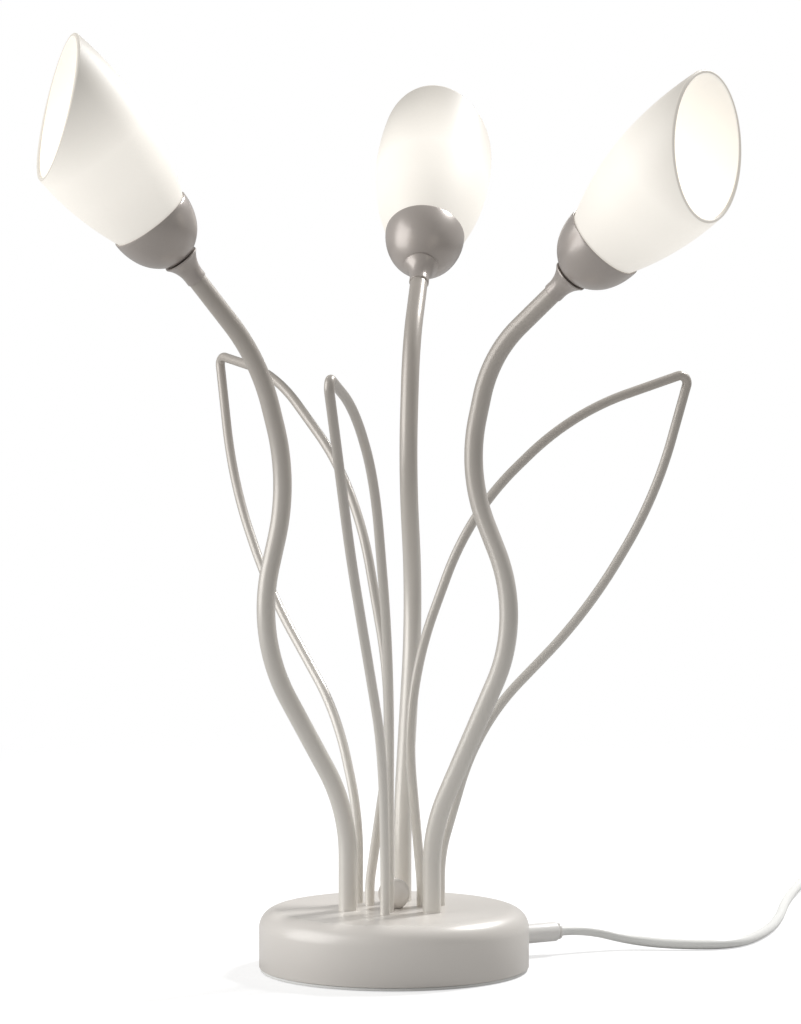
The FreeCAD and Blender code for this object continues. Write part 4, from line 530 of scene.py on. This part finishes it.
def glass_grid(around=192, rows=72):
    """Outer wall: the height runs evenly from the foot to the cut, whose height is found by
    trying r(h) in turn. Lip: half a circle of half the wall's thickness. Inner wall: the same
    heights downward, one wall further in, then the floor with its hole."""
    angle = np.linspace(0, 2 * np.pi, around, endpoint=False)
    radius = np.full(around, 0.03)
    for _ in range(30):
        radius = outer_radius(cut_height(radius, angle))
    half = glass_wall / 2
    end = cut_height(radius, angle) - half
    share = np.linspace(0, 1, rows)[:, None]
    share = 0.5 * share + 0.5 * np.sin(share * np.pi / 2)
    start = glass_floor + foot_edge
    h = start + (end - start) * share
    r = outer_radius(h)
    t = np.linspace(0, np.pi, 9)[1:-1, None]
    lip_r = outer_radius(end) - half + half * np.cos(t)
    lip_h = end + half * np.sin(t) + 0 * lip_r
    back_h = h[::-1]
    back_r = r[::-1] - glass_wall
    floor_top = glass_floor + glass_wall
    back_h = np.where(back_h < floor_top, floor_top, back_h)
    hole = 0.0115
    one = np.ones((1, around))
    foot_r = np.concatenate([hole * one, (glass_foot - foot_edge) * one, (glass_foot - small_edge) * one])
    foot_h = np.concatenate([glass_floor * one, glass_floor * one, (glass_floor + small_edge) * one])
    floor_r = np.concatenate([(hole + small_edge) * one, hole * one])
    floor_h = np.concatenate([floor_top * one, (floor_top - small_edge) * one])
    rr = np.concatenate([foot_r, r, lip_r, back_r, floor_r])
    hh = np.concatenate([foot_h, h, lip_h, back_h, floor_h])
    grid = np.stack([rr * np.cos(angle), rr * np.sin(angle), hh], axis=-1)
    inner = np.zeros(len(rr), int)
    inner[len(foot_r) + rows + len(lip_r) - 1:] = 1
    inner[len(foot_r) + rows - 1:len(foot_r) + rows + len(lip_r) - 1] = 2
    return grid, angle, hh, inner


# %% The three glasses
glass_pieces = {}
grid, angle, height, inner = glass_grid()
for n, place in heads.items():
    twist = Matrix.Rotation(math.radians(stems[n]["twist"]), 4, "Z")
    uv = (angle[None, :] / (2 * np.pi) + 0 * height, height - rim_height)
    glass = skin("glass_tulip_%d" % n, moved(grid, place @ twist), uv=uv, ring=True, second=inner, sharp=50)
    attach(glass, "glass_%d" % n)
    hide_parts("shade_%d" % n)
    glass_pieces[n] = glass
print("glass: %d faces each" % len(glass.data.polygons))

# %% [markdown]
# ## What is inside the glass
#
# A small two-pin lamp stands in a ceramic holder on the cup's floor. Only its frosted bulb can be
# seen through the open end, so it gets a smooth turned shape: a cylinder with a round end.

# %% Lamps
holder_top = 0.0178 + 0.021
bulb_foot = holder_top + 0.007
bulb_pieces = {}
for n, place in heads.items():
    bulb_radius, bulb_tip = 0.0067, bulb_foot + 0.036
    dome = np.linspace(0.0, math.pi / 2, 14)
    straight_top = bulb_tip - bulb_radius
    bulb_profile = np.concatenate([
        [(0.0, bulb_foot - 0.001), (0.0047, bulb_foot - 0.001)],
        [(0.0060, bulb_foot + 0.0006), (bulb_radius, bulb_foot + 0.002)],
        np.stack([bulb_radius * np.cos(dome), straight_top + bulb_radius * np.sin(dome)], axis=1)[:-1],
        [(0.0, bulb_tip)]])
    bulb = turned("lamp_bulb_%d" % n, bulb_profile, place, around=40)
    width, depth = 0.0070, 0.0037
    a = np.linspace(0, 2 * np.pi, 64, endpoint=False)
    # A rounded oblong: |x/w|^6 + |y/d|^6 = 1, carried up and drawn in a little at both ends.
    c, s = np.cos(a), np.sin(a)
    oblong = (np.abs(c / width) ** 6 + np.abs(s / depth) ** 6) ** (-1 / 6)
    level = np.array([0, 0, 0.0004, 0.0066, 0.007, 0.007]) + holder_top
    shrink = np.array([0.0, 0.93, 1.0, 1.0, 0.93, 0.0])
    foot_grid = np.stack([shrink[:, None] * oblong * c, shrink[:, None] * oblong * s,
                          level[:, None] + 0 * a], axis=-1)
    bulb_base = skin("lamp_foot_%d" % n, moved(foot_grid, place))
    for piece in (bulb, bulb_base):
        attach(piece, "lamp")
        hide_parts("bulb_%d" % n)
    bulb_pieces[n] = (bulb, bulb_base)

# %% [markdown]
# ## The sleeve of the lead
#
# The lead leaves the base through a plain round sleeve with a fine groove before a small end
# ring. It lies along the direction 30 degrees behind the right-hand side, so the profile is
# turned about Z and then laid over.

# %% Sleeve
gland_place = (Matrix.Translation((0, 0, 0.012)) @ Matrix.Rotation(math.radians(30), 4, "Z")
               @ Matrix.Rotation(math.radians(90), 4, "Y"))
sleeve_profile = np.concatenate([
    [(0.00266, 0.058), (0.0041, 0.058), (0.0041, 0.0702)],
    rounded([(0.0041, 0.0702), (0.00515, 0.0702), (0.00515, 0.0990), (0.0034, 0.0990)],
            [0.0003, 0.0007], 4)[1:],
    rounded([(0.0034, 0.0990), (0.0034, 0.1000), (0.0043, 0.1001), (0.0043, 0.1014), (0.00266, 0.1014)],
            [0.0, 0.0003, 0.0005], 4)[1:],
])
sleeve = turned("lead_sleeve", sleeve_profile, gland_place, around=64, ring=True)
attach(sleeve, "lamp")
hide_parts("strain_relief")

# %% [markdown]
# ## Switch, tie and plug
#
# Three small moulded things lie on the lead outside the picture. Moulded plastic has no sharp
# edge anywhere, so each is a stack of rounded outlines that draw in toward top and bottom.


# %% A moulded block
def moulded(name, outline, levels, place, shrink):
    """A closed outline of (x, y) points, repeated at each level and drawn in by shrink, a
    distance, toward its own middle. The first and last outlines close to a point."""
    outline = np.asarray(outline, float)
    nxt, prev = np.roll(outline, -1, axis=0), np.roll(outline, 1, axis=0)
    tangent = nxt - prev
    tangent /= np.linalg.norm(tangent, axis=1)[:, None]
    normal = np.stack([tangent[:, 1], -tangent[:, 0]], axis=1)
    area = 0.5 * np.sum(outline[:, 0] * nxt[:, 1] - outline[:, 1] * nxt[:, 0])
    normal *= np.sign(area)
    levels, shrink = np.asarray(levels, float), np.asarray(shrink, float)
    flat = outline[None] - normal[None] * shrink[:, None, None]
    middle = flat.mean(axis=1, keepdims=True)
    flat = np.concatenate([middle[:1] + 0 * flat[:1], flat, middle[-1:] + 0 * flat[-1:]])
    z = np.concatenate([levels[:1], levels, levels[-1:]])
    grid = np.concatenate([flat, z[:, None, None] + 0 * flat[..., :1]], axis=-1)
    return skin(name, moved(grid, place))


def closed_outline(points, radii, steps=6):
    """A closed polygon with every corner rounded, as points."""
    pts = list(points)
    run = rounded([pts[-1]] + pts + [pts[0]], radii, steps)
    return run[1:-1]


def soft_levels(low, high, edge, steps=5):
    """Heights and draw-ins of a block whose two edges are rounded by a quarter circle."""
    t = np.linspace(0, math.pi / 2, steps)
    up = low + edge * (1 - np.cos(t))
    pull = edge * (1 - np.sin(t))
    return np.concatenate([up, high - edge * (1 - np.cos(t[::-1]))]), np.concatenate([pull, pull[::-1]])


# %% In-line switch
switch_middle = 0.030                # half its length
switch_place = Matrix.Translation((0.2606, 0.3333, 0)) @ Matrix.Rotation(math.atan2(0.893, 0.45), 4, "Z")
plan = closed_outline([(0, -0.006), (0.007, -0.013), (0.053, -0.013), (0.060, -0.006),
                       (0.060, 0.006), (0.053, 0.013), (0.007, 0.013), (0, 0.006)], [0.003] * 8)
z_low, in_low = soft_levels(0.0, 0.008, 0.0022)
z_low, in_low = np.append(z_low[:-5], 0.00792), np.append(in_low[:-5], 0.0)
switch_half = moulded("switch_underside", plan, z_low, switch_place, in_low)
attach(switch_half, "lamp")
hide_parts("switch_lower")


def holed_top(name, outline, hole, low, high, edge, place):
    """The upper half: the outer wall rises and rounds in, the top runs to the window's edge, and
    the window's wall goes down. Both outlines have the same number of points, matched by angle."""
    a = np.linspace(0, 2 * np.pi, 96, endpoint=False)
    outer = ray_outline(outline, a)
    window = ray_outline(hole, a)
    z, pull = soft_levels(low, high, edge)
    z, pull = z[5:], pull[5:]
    size = np.linalg.norm(outer, axis=1)
    rings = [outer] + [outer * (1 - p / size)[:, None] for p in pull]
    levels = [low] + list(z)
    rings += [window * 1.02, window, window, outer * 0.9]
    levels += [high, high - 0.0002, high - 0.0018, low]
    grid = np.stack([np.column_stack([r, np.full(len(a), h)]) for r, h in zip(rings, levels)])
    grid[..., 0] += switch_middle
    return skin(name, moved(grid, place), ring=True)


def ray_outline(points, angles):
    """Where rays from the middle at these angles meet a closed polygon."""
    p = np.asarray(points, float)
    q = np.roll(p, -1, axis=0)
    d = np.stack([np.cos(angles), np.sin(angles)], axis=1)
    e = q - p
    cross = d[:, None, 0] * e[None, :, 1] - d[:, None, 1] * e[None, :, 0]
    cross = np.where(np.abs(cross) < 1e-12, 1e-12, cross)
    t = (p[None, :, 0] * e[None, :, 1] - p[None, :, 1] * e[None, :, 0]) / cross
    u = (p[None, :, 0] * d[:, None, 1] - p[None, :, 1] * d[:, None, 0]) / cross
    hit = (t > 0) & (u > -1e-9) & (u < 1 + 1e-9)
    return d * np.where(hit, t, np.inf).min(axis=1)[:, None]


window = closed_outline([(-0.0105, -0.0058), (0.0105, -0.0058), (0.0105, 0.0058), (-0.0105, 0.0058)],
                        [0.0012] * 4)
switch_top = holed_top("switch_topside", plan - [switch_middle, 0.0], window,
                       0.0081, 0.016, 0.0022, switch_place)
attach(switch_top, "lamp")
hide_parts("switch_upper")

# %% Rocker
rocker_lean = math.radians(8)
rocker_place = (switch_place @ Matrix.Translation((switch_middle, 0, 0.0124))
                @ Matrix.Rotation(-rocker_lean, 4, "Y"))
crown = 0.0052
valley = crown - 0.0095 * math.tan(rocker_lean)
side_view = closed_outline([(-0.0095, 0.0012), (-0.0040, -0.0018), (0.0040, -0.0018), (0.0095, 0.0012),
                            (0.0095, crown), (0.0, valley), (-0.0095, crown)],
                           [0.0006, 0.0008, 0.0008, 0.0006, 0.0006, 0.006, 0.0006])
across, pull = soft_levels(-0.0055, 0.0055, 0.0005, 4)
rocker = moulded("rocker_key", side_view, across,
                 rocker_place @ Matrix.Rotation(math.radians(90), 4, "X"), pull)
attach(rocker, "rocker")
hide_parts("switch_rocker")

# %% Plug
plug_angle = math.atan2(-switch_way[1], -switch_way[0])
plug_place = Matrix.Translation((plug_tail[0], plug_tail[1], 0)) @ Matrix.Rotation(plug_angle, 4, "Z")
plug_plan = closed_outline([(0, -0.0065), (0.010, -0.0065), (0.023, -0.0175), (0.035, -0.0175),
                            (0.035, 0.0175), (0.023, 0.0175), (0.010, 0.0065), (0, 0.0065)],
                           [0.002, 0.010, 0.006, 0.0015, 0.0015, 0.006, 0.010, 0.002])
z_plug, in_plug = soft_levels(0.0, 0.0136, 0.0028, 6)
plug = moulded("plug_moulding", plug_plan, z_plug, plug_place, in_plug)
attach(plug, "lamp")
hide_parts("plug_body")

# %% Tie
tie_place = (Matrix.Translation((coil_centre[0], coil_centre[1], 0))
             @ Matrix.Rotation(first_angle + math.pi / 2, 4, "Z"))
tie_gap = 0.00035                    # between the band and the lead
reach_in = middle_turn - pitch * (turns / 2 + 0.125) - lead_radius - tie_gap - 0.0008
reach_out = middle_turn + pitch * (turns / 2 - 0.75) + lead_radius + tie_gap + 0.0002
band_low, band_high = coil_lift - tie_gap, coil_lift + 2 * lead_radius + pitch + tie_gap
loop = closed_outline([(reach_in, band_low), (reach_out, band_low),
                       (reach_out, band_high), (reach_in, band_high)], [0.002] * 4, 8)


def band(name, loop, thickness, width, place):
    """A flat strip bent round a closed loop in the XZ plane: for every point of the loop a
    four-cornered section, thickness outward and width across."""
    nxt, prev = np.roll(loop, -1, axis=0), np.roll(loop, 1, axis=0)
    tangent = nxt - prev
    tangent /= np.linalg.norm(tangent, axis=1)[:, None]
    out = np.stack([tangent[:, 1], -tangent[:, 0]], axis=1)
    far = loop + out * thickness
    half = width / 2
    corners = [(loop, -half), (far, -half + 0.0003), (far, half - 0.0003), (loop, half)]
    grid = np.stack([np.column_stack([c[:, 0], np.full(len(c), y), c[:, 1]]) for c, y in corners], axis=1)
    return skin(name, moved(grid, place), ring=True)


tie = band("lead_tie", loop, 0.0007, 0.009, tie_place)
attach(tie, "lamp")
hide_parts("cord_tie")

# %% [markdown]
# ## Finishes
#
# A small wrapper lets shader sums be written as plain Python: a value stands for one output
# socket, and adding or multiplying values adds the Math nodes. Everything else goes through one
# method, node(), which takes a node's type, its settings and what goes into its sockets.


# %% Sums on sockets
class Value:
    """An output socket that can be used in sums."""

    def __init__(self, finish, socket):
        self.finish, self.socket = finish, socket

    def maths(self, operation, *others):
        return self.finish.node("ShaderNodeMath", {"operation": operation}, dict(enumerate((self,) + others)))

    def __add__(self, other):
        return self.maths("ADD", other)

    def __sub__(self, other):
        return self.maths("SUBTRACT", other)

    def __mul__(self, other):
        return self.maths("MULTIPLY", other)

    def __truediv__(self, other):
        return self.maths("DIVIDE", other)

    def __rsub__(self, other):
        return self.finish.node("ShaderNodeMath", {"operation": "SUBTRACT"}, {0: other, 1: self})

    __radd__ = __add__
    __rmul__ = __mul__

    def between(self, low, high):
        """0 below low, 1 above high, smooth in between."""
        return self.finish.node("ShaderNodeMapRange", {"interpolation_type": "SMOOTHSTEP"},
                                {"Value": self, "From Min": low, "From Max": high})


class Finish:
    """A material under construction."""

    def __init__(self, name):
        self.material = bpy.data.materials.new(name)
        self.material.use_nodes = True
        self.tree = self.material.node_tree
        self.tree.nodes.clear()

    def node(self, kind, settings=None, sockets=None, out=0):
        made = self.tree.nodes.new(kind)
        for key, value in (settings or {}).items():
            if key == "stops":
                ramp = made.color_ramp
                while len(ramp.elements) < len(value):
                    ramp.elements.new(0.5)
                for element, (at, colour) in zip(ramp.elements, value):
                    element.position = at
                    element.color = (*colour, 1.0)
            else:
                setattr(made, key, value)
        for key, value in (sockets or {}).items():
            socket = made.inputs[key]
            if isinstance(value, Value):
                self.tree.links.new(value.socket, socket)
            elif isinstance(value, tuple) and len(value) == 3 and socket.type == "RGBA":
                socket.default_value = (*value, 1.0)
            else:
                socket.default_value = value
        return Value(self, made.outputs[out]) if len(made.outputs) else None

    def place(self):
        """Object coordinates, in metres."""
        return self.node("ShaderNodeTexCoord", out=3)

    def noise(self, scale, detail=2.0, rough=0.5):
        return self.node("ShaderNodeTexNoise", {}, {"Vector": self.place(), "Scale": scale,
                                                    "Detail": detail, "Roughness": rough})

    def mix(self, factor, a, b):
        """A colour between a and b."""
        made = self.tree.nodes.new("ShaderNodeMix")
        made.data_type = "RGBA"
        for index, value in ((0, factor), (6, a), (7, b)):
            socket = made.inputs[index]
            if isinstance(value, Value):
                self.tree.links.new(value.socket, socket)
            elif isinstance(value, tuple):
                socket.default_value = (*value, 1.0)
            else:
                socket.default_value = value
        return Value(self, made.outputs[2])

    def relief(self, height, distance, strength=1.0):
        """A bump from a height."""
        return self.node("ShaderNodeBump", {}, {"Height": height, "Distance": distance, "Strength": strength})

    def shader(self, **sockets):
        """The Principled shader and the output."""
        named = {key.replace("_", " ").title().replace("Ior", "IOR"): value for key, value in sockets.items()}
        surface = self.node("ShaderNodeBsdfPrincipled", {}, named)
        self.node("ShaderNodeOutputMaterial", {}, {"Surface": surface})
        return self.material


def tint(r, g, b):
    """A colour as it is seen on a screen, 0 to 255, as linear light."""
    c = np.array([r, g, b]) / 255
    return tuple(float(x) for x in np.where(c <= 0.04045, c / 12.92, ((c + 0.055) / 1.055) ** 2.4))


def dress(material, *pieces):
    """Give pieces one material."""
    for piece in pieces:
        piece.data.materials.clear()
        piece.data.materials.append(material)


# %% [markdown]
# ### Lacquer
#
# The metal is coated with a warm grey pearl lacquer, satin rather than glossy. Its colour also
# carries painted light and shade: the base is painted lighter toward its top, the stems and
# leaves darker toward their tops, and the cups and ferrules take a darker copy of the lacquer.
# Close up it has a faint orange-peel relief and slight changes of gloss, never one flat colour.


# %% Lacquer on the metal
def lacquer(name, low_colour, high_colour, low, high, metal=0.2, gloss=0.36, coat=0.3):
    """Pearl lacquer whose colour passes from low_colour to high_colour between the heights low
    and high: painted light and shade, one end of a piece lighter or darker as the light falls.
    """
    f = Finish(name)
    up = f.node("ShaderNodeSeparateXYZ", {}, {0: f.place()}, out=2)
    cloud = f.noise(38.0, 3.0)
    # The mix by height is painted light and shade; the cloud noise in it is a random unevenness of tone.
    share = up.between(low, high) + (cloud - 0.5) * 0.10
    colour = f.mix(share, low_colour, high_colour)
    fine = f.noise(1400.0, 2.0)
    wide = f.noise(210.0, 2.0)
    colour = f.mix((fine - 0.5) * 0.04 + 0.02, colour, tint(255, 252, 246))
    rough = gloss + (cloud - 0.5) * 0.08 + (fine - 0.5) * 0.02
    return f.shader(base_color=colour, metallic=metal, roughness=rough, coat_weight=coat, coat_roughness=0.22,
                    normal=f.relief(wide, 0.00002, 0.15))


# Painted shade: the cups and ferrules take a darker grey copy of the same lacquer, for the shade that falls
# on them.
cup_shaded_grey = tint(178, 170, 164)
# Painted light: the base is painted lighter toward its top than on its lower side.
base_lacquer = lacquer("lacquer_base", tint(220, 215, 209), tint(228, 223, 217), 0.005, 0.032,
                       metal=0.05)
# Painted shade: the stems and the leaves are painted darker toward their tops.
stem_lacquer = lacquer("lacquer_stems", tint(222, 218, 211), tint(182, 175, 167), 0.06, 0.36)
cup_lacquer = lacquer("lacquer_cups", cup_shaded_grey, cup_shaded_grey, 0.34, 0.42, metal=0.3, gloss=0.32)
dress(base_lacquer, cover, ball)
dress(stem_lacquer, *[stem["tube"] for stem in stems.values()], *leaf_rods.values())
dress(cup_lacquer, *cup_pieces.values(), *ferrule_pieces.values())

# %% [markdown]
# ### Opal glass
#
# Opal glass has a milky layer that scatters the lamp's light, so the whole shade glows: most
# beside the bulb, less toward the thin cut tip. The glow could be left to real scattering, but
# that is slow and noisy; a soft emission that follows the height in the glass looks the same.
# The height above the cup is stored in each glass's own UV map.


# %% Opal glass
def opal(name, colour, stops):
    """Satin opal glass that glows with the lamp behind it. stops are the strengths of the glow at
    heights above the cup, in millimetres; the glow has the same warm tint at every strength."""
    f = Finish(name)
    along = f.node("ShaderNodeUVMap", {"uv_map": "along"})
    rise = f.node("ShaderNodeSeparateXYZ", {}, {0: along}, out=1)
    warm = np.array([1.0, 0.965, 0.90])
    top = 120.0                          # millimetres above the cup at the ramp's end
    ramp = [(up / top, tuple(float(c) for c in glow * warm)) for up, glow in stops]
    glow = f.node("ShaderNodeValToRGB", {"stops": ramp}, {0: rise / (top / 1000)})
    cloud = f.noise(26.0, 2.0)
    fine = f.noise(900.0, 2.0)
    shade = f.mix(cloud * 0.12, tint(*colour), tint(*(c - 14 for c in colour)))
    return f.shader(base_color=shade, roughness=0.52 + (fine - 0.5) * 0.08, emission_color=glow,
                    emission_strength=1.0, normal=f.relief(cloud, 0.0004, 0.25))


opal_finishes = [
    opal("opal_outside", (188, 183, 175),
         [(0, 0.50), (25, 0.60), (45, 0.62), (70, 0.38), (85, 0.22), (100, 0.09)]),
    opal("opal_inside", (206, 202, 195), [(0, 0.56), (30, 0.60), (60, 0.58), (100, 0.44)]),
    # The cut edge is painted darker and glows less than the inside: painted shade that shows the rim as a
    # thin darker line round the opening.
    opal("opal_cut_edge", (192, 186, 176), [(0, 0.34), (100, 0.26)]),
]
for glass in glass_pieces.values():
    for finish in opal_finishes:
        glass.data.materials.append(finish)


# %% Lamps and ceramics
def glowing_bulb():
    f = Finish("lamp_glow")
    cloud = f.noise(160.0, 2.0)
    glow = f.mix(cloud * 0.2, tint(255, 250, 240), tint(255, 244, 226))
    return f.shader(base_color=tint(250, 246, 238), roughness=0.35, emission_color=glow,
                    emission_strength=1.2)


def ceramic(name):
    f = Finish(name)
    cloud = f.noise(320.0, 3.0)
    speck = f.noise(2200.0, 2.0)
    colour = f.mix(cloud * 0.25 + speck * 0.1, tint(238, 236, 230), tint(222, 218, 208))
    return f.shader(base_color=colour, roughness=0.62 + (speck - 0.5) * 0.1,
                    normal=f.relief(speck, 0.00005, 0.6))


bulb_glow, holder_ceramic = glowing_bulb(), ceramic("holder_ceramic")
for bulb, bulb_base in bulb_pieces.values():
    dress(bulb_glow, bulb)
    dress(holder_ceramic, bulb_base)
dress(holder_ceramic, *[cad["lampholder_%d" % n] for n in (1, 2, 3)])


# %% Plastics, foam and metals
def plastic(name, colour, rough=0.38, grain=0.00003, coat=0.0, scale=1700.0):
    """Moulded plastic: a fine spark-eroded grain and a hint of unevenness in colour."""
    f = Finish(name)
    fine = f.noise(scale, 2.0)
    cloud = f.noise(90.0, 2.0)
    darker = tuple(c * 0.93 for c in colour)
    shade = f.mix(cloud * 0.5 + fine * 0.15, colour, darker)
    return f.shader(base_color=shade, roughness=rough + (fine - 0.5) * 0.12, coat_weight=coat,
                    normal=f.relief(fine, grain, 0.6))


def metal(name, colour, rough=0.3):
    """Bare or plated metal with a fine unevenness of gloss."""
    f = Finish(name)
    fine = f.noise(1500.0, 3.0)
    cloud = f.noise(120.0, 2.0)
    shade = f.mix(cloud * 0.5, colour, tuple(c * 0.85 for c in colour))
    return f.shader(base_color=shade, metallic=1.0, roughness=rough + (fine - 0.5) * 0.2,
                    normal=f.relief(fine, 0.00004, 0.5))


def foam_finish():
    f = Finish("pad_foam")
    cells = f.node("ShaderNodeTexVoronoi", {}, {"Vector": f.place(), "Scale": 1600.0}, out=0)
    cloud = f.noise(80.0, 2.0)
    shade = f.mix(cloud * 0.4 + cells * 0.3, tint(240, 240, 238), tint(222, 222, 219))
    return f.shader(base_color=shade, roughness=0.85, normal=f.relief(cells, 0.0001, 0.7))


def casting():
    f = Finish("iron_casting")
    grit = f.noise(900.0, 5.0, 0.7)
    cloud = f.noise(60.0, 3.0)
    shade = f.mix(cloud, tint(62, 60, 58), tint(86, 80, 74))
    return f.shader(base_color=shade, metallic=0.6, roughness=0.7 + (grit - 0.5) * 0.2,
                    normal=f.relief(grit, 0.0003, 0.8))


sleeve_plastic = plastic("sleeve_grey", tint(242, 240, 237), 0.36)
white_moulding = plastic("moulding_white", tint(238, 238, 234), 0.34, coat=0.1)
white_jacket = plastic("jacket_white", tint(243, 243, 240), 0.42, grain=0.00002, scale=1100.0)
black_moulding = plastic("moulding_black", tint(34, 34, 35), 0.45)
zinc = metal("zinc", tint(196, 198, 200), 0.32)
brass = metal("brass_thread", tint(206, 176, 112), 0.3)
plated = metal("plated_pin", tint(214, 214, 212), 0.2)
plate_grey = tint(176, 174, 170)
plate_paint = lacquer("lacquer_plate", plate_grey, plate_grey, 0.0, 0.01, metal=0.1, gloss=0.5)
pad_foam, iron = foam_finish(), casting()
dress(sleeve_plastic, sleeve)
dress(pad_foam, foam)
dress(white_moulding, switch_half, switch_top, rocker, plug, tie, cad["cord_clamp"], cad["terminal_block"],
      *[cad["shade_ring_%d" % n] for n in (1, 2, 3)])
dress(white_jacket, lead, cad["cord_inner_end"], *[cad["stem_lead_%d" % n] for n in (1, 2, 3)])
dress(black_moulding, cad["plug_sleeves"])
dress(plated, cad["plug_pins"])
dress(brass, cad["head_nipples"], cad["stem_foot_nipples"])
dress(zinc, *[cad[name] for name in ("plate_screws", "centre_bolt", "centre_spacer", "stem_foot_washers",
                                     "stem_foot_nuts", "leaf_nuts", "head_nuts", "gland_nut", "clamp_screws",
                                     "terminal_screws", "switch_screws")])
dress(plate_paint, cad["bottom_plate"])
dress(iron, cad["base_weight"])

# %% [markdown]
# ## Floor and light
#
# The lamp stands on a plain white table before a white background. The floor is a real surface
# that keeps the lamp's shadow; seen by the camera it is lifted to white, more so further away,
# so that it passes into the background without an edge. The light is a small key high up at the
# right, behind the lamp, a broad fill from the left, and a pale surround.


# %% Floor
def floor_finish():
    f = Finish("floor_white")
    spot = f.place()
    reach = f.node("ShaderNodeVectorMath", {"operation": "LENGTH"}, {0: spot}, out=1)
    far = reach.between(0.30, 1.1)
    seen = f.node("ShaderNodeLightPath", out=0)
    diffuse = f.node("ShaderNodeBsdfDiffuse", {}, {"Color": (0.50, 0.50, 0.50)})
    lift = f.node("ShaderNodeEmission", {}, {"Color": (1.0, 1.0, 1.0), "Strength": seen * 0.60})
    both = f.node("ShaderNodeAddShader", {}, {0: diffuse, 1: lift})
    white = f.node("ShaderNodeEmission", {}, {"Color": (1.0, 1.0, 1.0), "Strength": 1.0})
    surface = f.node("ShaderNodeMixShader", {}, {0: far * seen, 1: both, 2: white})
    f.node("ShaderNodeOutputMaterial", {}, {"Surface": surface})
    return f.material


far_off, below = 6, -0.0002          # half the floor's side, and its height
floor_mesh = bpy.data.meshes.new("floor")
floor_mesh.from_pydata([(-far_off, -far_off, below), (far_off, -far_off, below),
                        (far_off, far_off, below), (-far_off, far_off, below)], [], [(0, 1, 2, 3)])
floor = bpy.data.objects.new("floor", floor_mesh)
bpy.context.scene.collection.objects.link(floor)
floor_mesh.materials.append(floor_finish())

# %% Lamps of the studio
world = bpy.data.worlds.new("studio")
bpy.context.scene.world = world
world.use_nodes = True
tree = world.node_tree
tree.nodes.clear()
path = tree.nodes.new("ShaderNodeLightPath")
direct = tree.nodes.new("ShaderNodeMath")
direct.operation = "MAXIMUM"
tree.links.new(path.outputs["Is Camera Ray"], direct.inputs[0])
tree.links.new(path.outputs["Is Transmission Ray"], direct.inputs[1])
surround = tree.nodes.new("ShaderNodeBackground")
surround.inputs[0].default_value = (1.0, 0.99, 0.975, 1)
surround.inputs[1].default_value = 0.42
backdrop = tree.nodes.new("ShaderNodeBackground")
backdrop.inputs[0].default_value = (1, 1, 1, 1)
backdrop.inputs[1].default_value = 1.0
choose = tree.nodes.new("ShaderNodeMixShader")
tree.links.new(direct.outputs[0], choose.inputs[0])
tree.links.new(surround.outputs[0], choose.inputs[1])
tree.links.new(backdrop.outputs[0], choose.inputs[2])
finish_node = tree.nodes.new("ShaderNodeOutputWorld")
tree.links.new(choose.outputs[0], finish_node.inputs[0])


def soft_lamp(name, at, aim, side, power):
    """A square area lamp that points at a place."""
    data = bpy.data.lights.new(name, "AREA")
    data.shape = "RECTANGLE"
    data.size, data.size_y = side, side
    data.energy = power
    lamp = bpy.data.objects.new(name, data)
    way = Vector(aim) - Vector(at)
    lamp.matrix_world = Matrix.Translation(at) @ way.to_track_quat("-Z", "Y").to_matrix().to_4x4()
    bpy.context.scene.collection.objects.link(lamp)
    return lamp


soft_lamp("key", (0.98, 0.84, 1.50), (0, 0, 0.15), 0.34, 28.0)
soft_lamp("fill", (-2.1, -0.45, 0.9), (0, 0, 0.2), 2.0, 36.0)

# %% Update the scene
bpy.context.view_layer.update()
